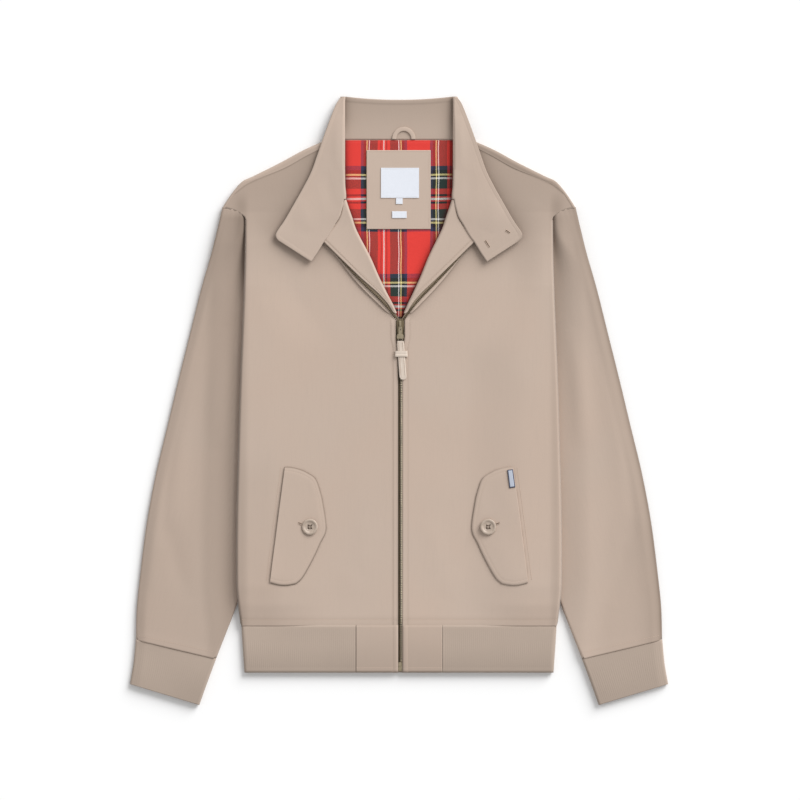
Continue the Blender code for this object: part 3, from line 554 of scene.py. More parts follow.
def back():
    ring_at = np.linspace(0, len(SHOULDER["fold_x"]) - 1, 65)
    ring = shoulder_ring(ring_at)
    neck_at = np.linspace(0, len(NECK_COLUMNS) - 1, 13)
    neck = np.column_stack([np.interp(neck_at, range(4), NECK_COLUMNS), np.full(13, COLLAR_Y)])
    top = np.concatenate([neck, ring[:, 0, :2]])
    at = np.concatenate([neck_at, len(NECK_COLUMNS) + ring_at])
    shares = top[:, 0] / top[-1, 0]
    rows = []
    for y in BACK_LOW_Y:
        x = back_columns(y, float(at_height(SIDE, y)) - UNDER_REACH - SEAM, at)
        rows.append(np.stack([x, np.full_like(x, y), under_height(x, y)], -1))
    for rank in np.linspace(0, len(BACK_CAPS) - 1, 29):
        end = cap(np.interp(rank, range(8), BACK_CAPS), 1.2)
        middle = np.interp(rank, range(8), BACK_MIDDLES)
        settle = 1 - ease(80, 140, end[1])
        bow = (rank / len(BACK_CAPS)) ** 2
        columns = back_columns(min(end[1], 64), end[0], at)
        s = mix(columns / end[0], shares, rank / len(BACK_CAPS))[:, None]
        plan = mix(np.array([0.0, middle]), end, s)
        plan += (top - mix(top[0], top[-1], shares[:, None])) * bow
        rise = (under_height(plan[:, 0], min(end[1], 64)) - BACK_Z) * settle
        rows.append(with_height(plan, BACK_Z + rise))
    rows.append(laid(*top.T, BACK_Z))
    panel = np.stack(rows)
    strip = np.swapaxes(ring, 0, 1)
    distance = np.linalg.norm(strip - strip[-1], axis=-1)
    strip = lifted(strip, stitched(distance, 4.6, 0.15, 0.1))
    whole = np.concatenate([(panel * MIRROR)[:, :0:-1], panel], axis=1)
    piece = cloth("back_panel", [whole, strip, (strip * MIRROR)[:, ::-1]], BACK_WALL, twill_body,
                  (430.0, 640.0))

    # Painted shade on the upper layer of the shoulder strips, deeper on the wearer's left
    def strip_shade(x, y, z):
        return ease(1.6, 5.0, z) * ease(240, 252, y) * mix(0.2, 0.62, x > 0)

    paint_shade_wear_and_highlights(piece, 1, strip_shade)
    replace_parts(piece, "back")


twill_body = twill("twill_body", TWILL)
back()

# ------------------------------------------------------------------ the tartan lining
# Red tartan in a cotton twill, sewn in along the back neck and under both facings. Warp and weft
# have the same stripes, and where two cross their threads alternate.
LINING_Z = 2.7
THIN = 0.8
LINING = dict(
    y=(108.6, 127.0, 152.0, 180.0, 221.7, 261.9, 300.0, 339.6),
    x=(12.0, 20.0, 33.0, 46.0, 66.0, 78.0, 80.0, 80.0),
)
LINING_SHADE = dict(y=(108, 127, 164, 222, 262, 340), x=(2, 9.6, 27.8, 54.6, 68.4, 70))
RED, GREEN, BLUE = (0.79, 0.049, 0.038), (0.016, 0.036, 0.03), (0.03, 0.034, 0.085)
BLACK, WHITE, YELLOW = (0.012, 0.01, 0.013), (0.88, 0.87, 0.83), (0.92, 0.80, 0.34)
STRIPES = (WHITE, RED, BLACK, RED, GREEN, BLACK, WHITE, BLACK, YELLOW, BLACK, BLUE, RED)
WARP = dict(
    pivot=-19.5, half=45.0,
    starts=(0, 0.8, 3.0, 4.2, 8.0, 17.2, 18.3, 19.7, 21.3, 22.8, 26.4, 30.0),
)
WEFT = dict(
    pivot=263.4, half=70.0,
    starts=(0, 1.1, 3.2, 5.8, 13.0, 24.2, 25.1, 27.4, 29.8, 32.0, 37.0, 42.4),
)
TWILL_PITCH = 0.9


def tartan():
    """The two sets of stripes, mixed thread by thread."""
    made, shader, wire = new_material("tartan_lining")
    place = wire.node("ShaderNodeTexCoord", output=3)
    waver = noise(place, 22.0, 1.0)
    x, y, _ = axes(place)
    colours = []
    for across, sett in ((x, WARP), (y, WEFT)):
        off = across - sett["pivot"] + (waver - 0.5) * 2.4
        folded = off.maths("PINGPONG", off, sett["half"])
        stops = [(start / sett["half"], colour) for start, colour in zip(sett["starts"], STRIPES)]
        settings = {"stops": stops, "interpolation": "CONSTANT"}
        colours.append(wire.node("ShaderNodeValToRGB", settings, {0: folded / sett["half"]}))
    weave = (x + y) / TWILL_PITCH
    over = weave.maths("FRACT", weave).within(0.35, 0.65)
    rounded = ((x + y) * (2 * np.pi / TWILL_PITCH)).sine()
    fine = noise(place, 700.0, 2.0)
    # The lining is darkened towards a deep red by the shade painted on its points
    shade = painted(wire, "hollow")
    base = mix_colours(over * 0.6 + 0.2, colours[0], colours[1])
    base = mix_colours(fine * 0.12, base, (0.05, 0.02, 0.02))
    base = mix_colours(shade, base, (0.08, 0.006, 0.005))
    height = rounded * 0.5 + fine
    feed(shader, {
        "Base Color": base,
        "Roughness": 0.72 + fine * 0.15,
        "Specular IOR Level": 0.3,
        "Normal": bump(height, 0.4, 0.0002),
    })
    return made


def back_lining():
    rows = np.interp(np.arange(0, 7.01, 0.125), range(8), LINING["y"])
    half = on_line(LINING, rows)
    s = np.linspace(-1, 1, 57)
    x, y = half[:, None] * s[None, :], np.repeat(rows[:, None], len(s), 1)
    grid = laid(x, y, LINING_Z)
    ripple = 0.22 * np.sin(x / 17 + np.sin(y / 31) * 1.7) * np.sin(y / 38 + 0.6)
    piece = cloth("lining_back", [lifted(grid, ripple)], THIN, tartan(), (160.0, 231.0))

    # Painted shade on the lining beside the lapels' roll and just below the collar's seam
    def beside_collar(x, y, z):
        to_roll = on_line(LINING_SHADE, y) - np.abs(x)
        return 0.75 * np.exp(-to_roll / 3.2) + 0.35 * np.exp(-(COLLAR_Y - y) / 2.2)

    paint_shade_wear_and_highlights(piece, 1, beside_collar)
    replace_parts(piece, "back_lining")


back_lining()

# ------------------------------------------------------------------ patch, labels and hanger loop
# A plain patch of the shell cloth is sewn to the lining all round. It carries a satin label with
# its size tab, and a smaller one below. All three are blank. The loop is a folded strip.
THREAD_RADIUS = 0.24
STITCH = (  # along one stitch: the share of its length, and its height and thickness in radii
    (0.06, -0.45, 0.35), (0.18, 0.25, 0.9), (0.5, 0.55, 1.0), (0.82, 0.25, 0.9),
    (0.94, -0.45, 0.35),
)
PATCH = (-42.1, 224.0, 41.1, 326.5)
MAIN_LABEL = (-23.4, 264.6, 26.0, 303.6)
SIZE_TAB = (-3.9, 256.6, 4.7, 264.2)
SMALL_LABEL = (-9.1, 238.3, 9.9, 247.1)
PATCH_Z, LABEL_Z, LABEL_WALL = 3.8, 4.8, 0.6
LOOP_MIDDLE, LOOP_REACH, LOOP_RISE, LOOP_WIDE = 6.2, 12.5, 13.5, 2.6


def thread(name, colour):
    """Spun sewing thread: two plies twisted together."""
    made, shader, wire = new_material(name)
    place = wire.node("ShaderNodeTexCoord", output=3)
    fuzz = noise(place, 2600.0, 2.0)
    feed(shader, {
        "Base Color": mix_colours(fuzz, times(colour, 0.8), times(colour, 1.15)),
        "Roughness": 0.6 + fuzz * 0.2,
        "Normal": bump(fuzz, 0.4, 0.0001),
    })
    return made


def walked_along(line):
    """How far each point of a line, or of every column of a grid, lies from its start."""
    steps = np.diff(line, axis=0, prepend=line[:1])
    return np.cumsum(np.linalg.norm(steps, axis=-1), axis=0)


def spot_on(line, walked, at):
    """The point of a line of points that lies this far along it."""
    return np.array([np.interp(at, walked, line[:, n]) for n in range(3)])


def stitching(name, lines, material, side=1, pitch=3.1, radius=THREAD_RADIUS, body="jacket"):
    """Lockstitches along lines of points: rounded threads that dip into the cloth at both ends."""
    ring = np.radians(np.arange(0, 360, 60))
    points, faces, start = [], [], 0
    for line in lines:
        line = np.asarray(line, float)
        walked = walked_along(line)
        for k in range(int(walked[-1] / pitch)):
            for share, lift, thick in STITCH:
                at = (k + share) * pitch
                here = spot_on(line, walked, at)
                ahead = spot_on(line, walked, at + 0.4)
                behind = spot_on(line, walked, at - 0.4)
                run = (ahead - behind) / max(np.linalg.norm(ahead - behind), 1e-6)
                across = np.cross(run, (0, 0, 1))
                across /= max(np.linalg.norm(across), 1e-6)
                up = np.cross(across, run)
                turn = np.cos(ring)[:, None] * across + np.sin(ring)[:, None] * up
                points.append(here + up * lift * radius + turn * radius * thick)
            for r in range(len(STITCH) - 1):
                for c in range(6):
                    a, b = start + r * 6 + c, start + r * 6 + (c + 1) % 6
                    faces.append((a, a + 6, b + 6, b))
            faces.append(tuple(start + c for c in range(6)))
            faces.append(tuple(start + 24 + 5 - c for c in range(6)))
            start += 30
    mesh = new_mesh(name, np.concatenate(points) * (side, 1, 1), faces)
    if side < 0:
        mesh.flip_normals()
    show(name, mesh, material, body)


def on_top(grid, wall):
    """A line of the grid's points moved out to the face of the cloth."""
    return grid + (0, 0, wall / 2)


def label_satin(name, colour, pitch):
    """Damask woven satin: fine weft floats, close and slightly glossy."""
    made, shader, wire = new_material(name)
    place = wire.node("ShaderNodeTexCoord", output=3)
    x, y, _ = axes(place)
    picks = (y * (2 * np.pi / pitch)).sine()
    ends = ((x + y * 0.4) * (2 * np.pi / pitch)).sine()
    fine = noise(place, 500.0, 2.0)
    feed(shader, {
        "Base Color": mix_colours(fine * 0.3 + picks * 0.08, colour, times(colour, 0.82)),
        "Roughness": 0.42 + fine * 0.2,
        "Sheen Weight": 0.1,
        "Normal": bump(picks + ends * 0.6, 0.35, 0.0001),
    })
    return made


def sewn_rectangle(name, box, height, wall, material, step, inset, relief, node, carries=None):
    """A flat patch with turned edges, slightly puckered by the stitches round it."""
    x0, y0, x1, y1 = box
    wide, long = x1 - x0, y1 - y0
    across, down = (stations(size, step, (inset, size - inset)) for size in (wide, long))
    x, y = np.meshgrid(x0 + across, y0 + down)
    edge = np.minimum(np.minimum(x - x0, x1 - x), np.minimum(y - y0, y1 - y))
    lift = stitched(edge, inset, relief, relief * 0.8) + 0.10 * np.sin(x / 9) * np.sin(y / 12 + 1)
    grid = lifted(laid(x, y, height), lift)
    flat = None if carries is None else (wide, long)
    piece = cloth(name, [grid], wall, material, flat)
    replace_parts(piece, node)
    x0, y0, x1, y1 = x0 + inset, y0 + inset, x1 - inset, y1 - inset
    level = height + wall / 2 - relief
    corners = [(x, y, level) for x, y in ((x0, y0), (x1, y0), (x1, y1), (x0, y1))]
    return piece, list(zip(corners, corners[1:] + corners[:1]))


cloth_thread = thread("thread_beige", (0.56, 0.43, 0.34))
white_thread = thread("thread_white", (0.75, 0.75, 0.77))
twill_patch = twill("twill_patch", times(TWILL, 1.02))
white_satin = label_satin("satin_white", (0.80, 0.83, 0.90), 0.35)
label_make = (LABEL_Z, LABEL_WALL, white_satin)
size_label, _ = sewn_rectangle("size_label", SIZE_TAB, *label_make, 0.8, 0.8, 0.04, "size_tab")
care_label, care_lines = sewn_rectangle(
    "care_label", SMALL_LABEL, *label_make, 0.9, 1.0, 0.06, "small_label")
neck_label, label_lines = sewn_rectangle(
    "neck_label", MAIN_LABEL, *label_make, 2.0, 1.4, 0.1, "main_label", [size_label, care_label])


def hanger_loop():
    """Half a ring of a folded strip, its ends under the collar's seam."""
    a = np.radians(np.linspace(0, 180, 49))[:, None]
    w = np.array([-1.0, -0.85, -0.45, 0.0, 0.45, 0.85, 1.0])[None, :] * LOOP_WIDE
    x = LOOP_MIDDLE + (LOOP_REACH + w) * np.cos(a)
    y = COLLAR_Y + 0.8 + (LOOP_RISE + w) * np.sin(a)
    z = 3.2 + 0.25 * np.cos(w / LOOP_WIDE * 1.4) + 0 * a
    piece = cloth("neck_loop", [np.stack([x, y, z], -1)], 1.2, twill_patch, None)
    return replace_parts(piece, "hanger_loop")


neck_loop = hanger_loop()
_, patch_lines = sewn_rectangle(
    "neck_patch", PATCH, PATCH_Z, THIN, twill_patch, 3.0, 2.2, 0.16, "label_patch", [neck_loop])
stitching("patch_stitches", patch_lines, cloth_thread, pitch=2.6, radius=0.2)
label_lines = label_lines[::2] + care_lines[1::2]
stitching("label_stitches", label_lines, white_thread, pitch=1.8, radius=0.16)

# ------------------------------------------------------------------ the fronts
# Two twill fronts, topstitched beside the zip. Each folds under at the side to its seam with the
# back, and above the slider its edge is turned out, so that the zip's lip shows beyond the facing.
ZIP_EDGE = dict(y=(-350, 70, 80, 84, 107.5), x=(2.8, 2.8, 5.2, 5.7, 5.7))
ROLL = dict(  # the fold of the turned out front
    y=(115.0, 127.0, 139.4, 152.0, 164.5, 189.8, 221.7, 238.6, 250.0, 261.9),
    x=(4.4, 9.6, 16.0, 22.0, 27.8, 38.5, 54.6, 60.5, 64.5, 68.4),
)
PLACKET_EDGE = dict(  # the turned front's edge, a point for each row of ROLL
    y=(112.5, 121.0, 133.0, 143.5, 156.0, 171.6, 189.1, 198.0, 202.5, 205.9),
    x=(12.5, 22.0, 34.0, 44.5, 56.0, 68.8, 81.8, 90.3, 94.6, 97.7),
)
NECK = dict(y=(280.0, 298.0, 318.0, 333.0), x=(74.5, 80.0, 86.0, 88.5))
ARMHOLE = (0.31, 0.26, 0.22, 0.18, 0.14)  # shares of the cap, beside the rows over the lapel
SIDE_ROWS = (118, 134, 150, 166, 182, 203, 222, 236)
HEM_SEAM_Y = -289.8
LAPEL_RISE = 2.2
ROLL_INSET = 2.3
LAPEL_Y = 107.5  # from here up the fronts are turned out
NEAR_ZIP, FRONT_WIDE = 14.0, 200.0  # the columns lie closer together beside the zip
ZIP_STITCH, HEM_STITCH = 6.6, 6.6
HEM_RISE = 0.9  # the fronts' lower edge lies as high as the hem band
CREASES = dict(  # soft folds left by wear, on either front
    x0=(38, 52, 186, 178, 120, 172, 60, 150),
    y0=(-150, -70, 215, 262, 284, -255, -255, 60),
    x1=(46, 30, 168, 150, 128, 178, 74, 178),
    y1=(-225, -190, 140, 215, 215, -180, -215, -60),
    width=(13, 20, 16, 14, 14, 14, 14, 26),
    height=(0.3, 0.25, 0.35, 0.3, -0.3, 0.3, 0.3, 0.3),
)
FLAP = dict(  # the sewn edge and the free edge of the flap on either front, from top to bottom
    sewn_x=(148.2, 150.2, 152.6, 155.0, 159.0, 161.4, 163.9, 166.2, 167.4),
    sewn_y=(-84.8, -100.0, -118.0, -136.0, -167.0, -186.0, -205.0, -224.0, -235.0),
    free_x=(122.2, 108.8, 102.2, 98.2, 94.5, 102.2, 111.4, 124.8, 133.9),
    free_y=(-90.4, -99.5, -116.4, -134.6, -165.8, -184.0, -204.0, -227.8, -236.5),
    bulge=(1.5, 0, 0, 0, 0, 0, 0, -1.0, -3.0),
)
WING = dict(  # rows of the turned out collar, from its top to its end
    inner_x=(69.5, 70, 70, 70, 70, 70, 70, 69.6, 68.8, 75.9, 82.8, 91.5, 97.4, 105.5, 114.1),
    inner_y=(395.9, 388, 375, 358, 340, 318, 298, 280, 262.3, 242, 230, 214.9, 207.2, 194, 181.3),
    outer_x=(76, 81, 86, 92.6, 99.5, 106.3, 113.8, 123.6, 134.8, 146.2, 151.6, 156.6, 159.9, 158.4,
             154.6),
    outer_y=(393.5, 386.8, 375.2, 358, 338.7, 319, 298.2, 278.6, 258.6, 238.6, 230, 223, 216.5,
             211.4, 208.2),
    inner_z=(6.9, 7.6, 8.8, 10.2, 11.2, 11.6, 11.8, 11.9, 11.8, 11.1, 10.6, 10.5, 10.7, 11, 11.3),
    outer_z=(6.6, 7.2, 8.4, 9.8, 10.6, 10.8, 10.9, 11.1, 11.6, 12.2, 12.6, 13, 13.2, 13, 12.6),
    fold_x=(76.0, 78.5, 81.5, 85.0, 88.5, 85.6, 79.6, 74.1),  # the under layer's far edge
    fold_z=(4.0, 4.3, 5.0, 6.0, 7.0, 7.0, 7.0, 7.0),
)


def to_outline(x, y, outline):
    """The distance from every place to the nearest stretch of an outline."""
    best = np.full(np.shape(x), 1e9)
    for (x0, y0), (x1, y1) in zip(outline, outline[1:]):
        run = np.array([x1 - x0, y1 - y0])
        share = np.clip(((x - x0) * run[0] + (y - y0) * run[1]) / max(run @ run, 1e-9), 0, 1)
        best = np.minimum(best, np.hypot(x - x0 - share * run[0], y - y0 - share * run[1]))
    return best


def folds(table, x, y):
    """Relief of soft folds, each highest halfway along its line and fading out to both ends."""
    total = np.zeros_like(x)
    for x0, y0, x1, y1, width, height in zip(*table.values()):
        run = np.array([x1 - x0, y1 - y0], float)
        length = np.linalg.norm(run)
        run /= length
        forward = ((x - x0) * run[0] + (y - y0) * run[1]) / length
        off = (x - x0) * run[1] - (y - y0) * run[0] + width * 0.35 * np.sin(forward * 3.1)
        swell = np.clip(np.sin(np.pi * np.clip(forward, 0, 1)), 0, 1) ** 0.8
        total += height * swell * bell(off, width)
    return total


def drape(x, y):
    """The slight unevenness of cloth that has been washed and laid out by hand."""
    broad = 0.10 * np.sin(x / 23 + 1.3 * np.sin(y / 61)) * np.sin(y / 47 + 0.8)
    return broad + 0.06 * np.sin((x + 2 * y) / 33)


def seam_line(free, folded, share, row):
    """Points across the turned out front; its last rows curve with the collar seam."""
    hollow = np.interp(row, (6, 7, 8, 9), (0.0, 0.2, 0.55, 1.0))
    dip = 4.6 * hollow * np.sin(np.pi * share**1.4)
    return free + (folded - free) * share[..., None] - dip[..., None]


def front_ends(q):
    """Both ends of the front's rows over the slider, at fractional rows q from 0 to 13."""
    roll, out = place_on(ROLL, "x", "y", np.clip(q, 0, 9))
    start = roll + out * (ROLL_INSET + SHELL / 2 + 1.0)
    neck = points_of(NECK, np.clip(q - 10, 0, 3))
    start = np.where((q > 9)[:, None], mix(start, neck, np.clip(q - 9, 0, 1)[:, None]), start)
    y = np.interp(q, range(8), SIDE_ROWS)
    side = np.stack([at_height(SIDE, y), y], -1)
    arm = cap(np.interp(q - 8, range(5), ARMHOLE), SEAM)
    end = mix(side, arm, np.clip(q - 7, 0, 1)[:, None])
    corner = np.array([SHOULDER["seam_x"][-1], SHOULDER["seam_y"][-1]])
    end = mix(end, corner, np.clip(q - 12, 0, 1)[:, None])
    return start, end, np.where(q > 7, (np.clip(q - 7, 0, None) / 6) ** 2, 0.0)


def outline_of(x, y):
    """A list of the corners of a line."""
    return list(zip(x, y))


def front(side):
    """A whole front, with its upper side, its turned out top and its strip under the body."""
    low_y = HEM_SEAM_Y + stations(LAPEL_Y - HEM_SEAM_Y, 3.4, (HEM_STITCH,))
    q = np.arange(0, 13.001, 0.1)
    upper_start, upper_end, bow = front_ends(q)
    by_zip = on_line(ZIP_EDGE, low_y)
    start = np.concatenate([np.column_stack([by_zip, low_y]), upper_start])
    end = np.concatenate([np.column_stack([at_height(SIDE, low_y), low_y]), upper_end])
    bow = np.concatenate([np.zeros(len(low_y)), bow])
    near = stations(NEAR_ZIP, 1.6, (ZIP_STITCH,))
    rest = mix(NEAR_ZIP, FRONT_WIDE, np.linspace(0, 1, 66)[1:])
    share = np.concatenate([near, rest]) / FRONT_WIDE
    first = NEAR_ZIP / FRONT_WIDE
    run = end - start
    wide = np.linalg.norm(run, axis=-1)[:, None]
    held = np.clip(near[-1] / wide, 0, 1)
    after = held + (share - first) / (1 - first) * (1 - held)
    s = np.where(share <= first, share / first * held, after)
    seam_x, seam_y = SHOULDER["seam_x"], SHOULDER["seam_y"]
    at = np.interp(mix(seam_x[0], seam_x[-1], s), seam_x, range(len(seam_x)))
    lift = along(seam_y, at) - mix(seam_y[0], seam_y[-1], s)
    x = start[:, :1] + run[:, :1] * s
    y = start[:, 1:] + run[:, 1:] * s + lift * bow[:, None]
    body = np.stack([x, y, front_height(x, y)], -1)
    from_edge = s * wide
    relief = folds(CREASES, x, y) + drape(x, y)
    relief *= ease(0, 12, from_edge) * ease(0, 15, y - HEM_SEAM_Y) * (1 - 0.7 * ease(300, 330, y))
    straight = 1 - ease(96, 112, y)
    relief += stitched(from_edge, ZIP_STITCH, 0.3, 0.25) * straight
    relief += stitched(y - HEM_SEAM_Y, HEM_STITCH, 0.12, 0.03) * ease(2, 8, from_edge)
    relief += HEM_RISE * (1 - ease(0, 13, y - HEM_SEAM_Y))
    body = lifted(body, relief)
    folding = np.arange(len(end)) < len(low_y) + 71
    height = np.where(folding, front_height(end[:, 0], end[:, 1]), 0)
    low = under_height(end[:, 0], end[:, 1])
    bend = arc(end, (-1.0, 0.0), low, height, (height - low) / 2, SHELL)
    reach = np.linspace(0.25, 1.0, 4)
    under_x = mix(bend[:, -1, :1], end[:, :1] - UNDER_REACH, reach)
    under = np.stack([under_x, np.repeat(end[:, 1:], 4, 1), under_height(under_x, end[:, 1:])], -1)
    wrapped = np.concatenate([bend, under], axis=1)
    wrapped[:, 0] = body[:, -1]
    wrapped[~folding] = np.nan
    grids = [np.concatenate([body, wrapped[:, 1:]], axis=1)]
    grids += [turned_front(np.arange(0.2, 9.001, 0.1))]
    grids += [tucked(body, 2.6, 0.9)[-4:], tucked(body[::-1], 1.4, 0.45)[:-5:-1]]
    piece = cloth(f"front_{hand(side)}_cloth", grids, SHELL, twill_body, (238.0, 622.0), side)
    paint_shade_wear_and_highlights(piece, side, front_painted_shade(side), front_highlight(side))
    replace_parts(piece, f"front_{hand(side)}")
    zip_column, hem_row = nearest(near, ZIP_STITCH), nearest(low_y - HEM_SEAM_Y, HEM_STITCH)
    lines = [body[1:len(low_y), zip_column], body[hem_row, zip_column:]]
    lines = [on_top(line, SHELL - 0.25) for line in lines]
    stitching(f"front_{hand(side)}_stitches", lines, cloth_thread, side)


def turned_front(q):
    """The part of the front above the slider that is turned out, with its lip beyond the zip."""
    roll, out = place_on(ROLL, "x", "y", q)
    edge = roll + out * ROLL_INSET
    low = front_height(roll[:, 0], roll[:, 1])
    rise = LAPEL_RISE * mix(0.4, 1.0, ease(0, 1, q))
    bend = arc(edge, out, low, low + rise, 1.0, SHELL)
    free = points_of(PLACKET_EDGE, q)
    share = np.linspace(0, 1, 22)[None, :-1] + 0 * q[:, None]
    plan = seam_line(free[:, None, :], bend[:, :1, :2], share, q[:, None])
    z = front_height(plan[..., 0], plan[..., 1]) + rise[:, None]
    lip = np.linalg.norm(plan - plan[:, :1], axis=-1)
    top = lifted(with_height(plan, z), 0.25 * bell(lip - 1.6, 1.4))
    return np.concatenate([top, bend], axis=1)


def leaning(x, y):
    """How steeply the fronts rise towards their sides, where they lie on the sleeves."""
    return (front_height(x + 2.0, y) - front_height(x - 2.0, y)) / 4.0


def front_painted_shade(side):
    """Painted shade on the fronts: by lapels, collar and flaps, at shoulder and armhole, and on the
    right front where it rises to its side and faces the light.
    """
    sewn = outline_of(FLAP["sewn_x"], FLAP["sewn_y"])
    flap = sewn[:1] + outline_of(FLAP["free_x"], FLAP["free_y"]) + sewn[::-1]
    wing = outline_of(WING["outer_x"], WING["outer_y"])
    wing += outline_of(WING["inner_x"], WING["inner_y"])[:11:-1]
    notch = wing[-1]
    seam = outline_of(SHOULDER["seam_x"], SHOULDER["seam_y"])[:7]

    def rule(x, y, z):
        beyond = x - on_line(PLACKET_EDGE, y)
        shade = (0.5 if side > 0 else 0.15) * fading(beyond, 6.0)
        shade *= ease(104, 113, y) * (1 - ease(198, 214, y)) * (beyond > -0.8)
        shade += 0.33 * ease(150, 285, y)
        shade += (0.85 * leaning(x, y) + 0.03) * (side < 0) + 0.12 * ease(-275, -281, y)
        shade += 0.12 * bell(y - HEM_SEAM_Y - HEM_STITCH, 1.4)
        shade += 0.08 * ease(-50, -110, y) * ease(145, 175, x) * (side < 0)
        beside = np.exp(-to_outline(x, y, wing) / 12.0) * ease(150, 180, y)
        shade += mix(0.2, 0.36 if side < 0 else 0.44, ease(205, 240, y)) * beside
        shade += 0.3 * np.exp(-np.hypot(x - notch[0], y - notch[1]) / 11.0) * (beyond > -0.8)
        shade += 0.26 * bell(to_outline(x, y, seam), 0.8)
        past = x - 198.0
        shade += 0.26 * bell(past - 7, 9) * ease(278, 252, y) * ease(-5, 1, past)
        shade += 0.22 * bell(to_outline(x, y, flap), 1.0)
        from_zip = x - on_line(ZIP_EDGE, y)
        groove = 0.2 * bell(from_zip - ZIP_STITCH, 1.4)
        return shade + (y < 107) * (groove + (side < 0) * 0.9 * bell(from_zip, 1.3))

    return rule


def front_highlight(side):
    """Painted highlights on the fronts: their folded sides, the zip's edge, the lips beside it, and
    the left front where it rises to its side, leaning from the light.
    """

    def rule(x, y, z):
        folded = bell(x - at_height(SIDE, np.clip(y, HEM_SEAM_Y, 246)), 2.5) * (y < 240)
        by_zip = bell(x - 4.4, 1.6) * (y < 75)
        lip = bell(x - on_line(PLACKET_EDGE, y) + 1.2, 1.6)
        lip *= (y > 104) * (y < 204)
        if side < 0:
            return 0.5 * folded + 0.7 * lip
        return 0.15 * by_zip + 0.7 * lip + 2.0 * leaning(x, y)

    return rule


def hand(side):
    return "left" if side > 0 else "right"


for side in (1, -1):
    front(side)

# ------------------------------------------------------------------ the facings
# A facing of the same twill backs each front edge. Above the slider it lies on top, rolled over
# the fold and down inside the jacket, and its outer edge is stitched to the zip's tape.
FACING_EDGE = dict(
    y=(116.0, 128.0, 140.7, 150.0, 160.0, 175.2, 190.3, 199.0, 203.4, 206.7),
    x=(9.0, 16.5, 27.8, 38.0, 49.0, 65.0, 80.5, 89.3, 93.7, 96.9),
)
FACING_WALL = 1.0
FACING_Z, FACING_UNDER_Z, OPEN_TAPE_Z = 10.4, 3.9, 9.2
FACING_STITCH = 4.6


def lapel_height(plan, level, q):
    """A layer's height on the lapel, which sinks to the slider at its lowest row."""
    return level + front_height(plan[..., 0], plan[..., 1]) - FRONT_Z - 1.6 * (1 - ease(0, 1, q))


def facing(side):
    """A facing, from its stitched edge round the fold and in under the lapel."""
    q = np.arange(0, 9.001, 0.075)
    roll, out = place_on(ROLL, "x", "y", q)
    high = lapel_height(roll, FACING_Z, q)
    bulge = np.interp(q, (0, 1, 2), (1.3, 2.0, 2.4))
    bend = arc(roll, out, FACING_UNDER_Z, high, bulge, FACING_WALL, 10)
    free = points_of(FACING_EDGE, q)
    wide = np.linalg.norm(free - bend[:, 0, :2], axis=-1)[:, None]
    near = stations(9.0, 1.5, (FACING_STITCH,))
    share = np.concatenate([near[None, :] / np.maximum(wide, 10.0), np.zeros((len(q), 16))], axis=1)
    last = share[:, len(near) - 1][:, None]
    share[:, len(near):] = mix(last, 1.0, np.linspace(0, 1, 18)[None, 1:-1])
    plan = seam_line(free[:, None, :], bend[:, :1, :2], share, q[:, None])
    top = with_height(plan, lapel_height(plan, FACING_Z, q[:, None]))
    distance = share * wide
    roundness = 0.35 * np.sin(np.pi * np.clip(share, 0, 1)) * ease(1, 4, q)[:, None]
    sewn_down = stitched(distance, FACING_STITCH, 0.22, 0.2) * ease(0.5, 2, q)[:, None]
    top = lifted(top, sewn_down + roundness)
    under = bend[:, -1:] + np.concatenate([out * 9.0, np.zeros((len(q), 1))], -1)[:, None]
    whole = np.concatenate([top, bend, under], axis=1)
    piece = cloth(f"facing_{hand(side)}_cloth", [whole, tucked(top, 4.0, 1.3)[-4:]], FACING_WALL,
                  twill_facing, (110.0, 165.0), side)
    rim = outline_of(FACING_EDGE["x"], FACING_EDGE["y"])

    # Painted shade along the facing's line of stitches; the top of its roll is made lighter
    def sewn(x, y, z):
        return 0.22 * bell(to_outline(x, y, rim) - FACING_STITCH, 0.8) * (z > 9)

    def rolled(x, y, z):
        return 0.1 * ease(9.8, 10.6, z) * bell(x - on_line(ROLL, y), 2.5)

    paint_shade_wear_and_highlights(piece, side, sewn, rolled)
    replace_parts(piece, f"facing_{hand(side)}")
    line = on_top(top[14:, nearest(near, FACING_STITCH)], FACING_WALL - 0.2)
    stitching(f"facing_{hand(side)}_stitches", [line], cloth_thread, side)


twill_facing = twill("twill_facing", TWILL, turn=radians(22))
for side in (1, -1):
    facing(side)

# ------------------------------------------------------------------ the collar
# One stand-and-fall collar of two twill layers with an interlining, turned and topstitched all
# round. It lies flattened: behind the neck its inside faces up, at both sides it folds back under
# itself, and from the roll line it turns out as a wing. The wearer's left wing has two buttonholes.
COLLAR_WALL = 2.2
COLLAR_TOP_Y = 391.6
COLLAR_STITCH, COLLAR_DEEP = 5.2, 52.0
RING_BULGE = ROLL_BULGE = 1.6
RING_ROWS, FOLD_ROWS, ROLL_ROWS, LAST_ROW = 4.0, 7.0, 8.0, 14.0
WING_FOLDS = dict(
    x0=(76, 92, 128), y0=(372, 300, 262), x1=(79, 84, 112), y1=(300, 246, 222),
    width=(7, 9, 12), height=(0.7, -0.5, 0.6),
)
BUTTONHOLES = (((112.1, 208.7), (117.3, 200.1), 12.6), ((138.7, 222.1), (144.0, 218.5), 13.8))


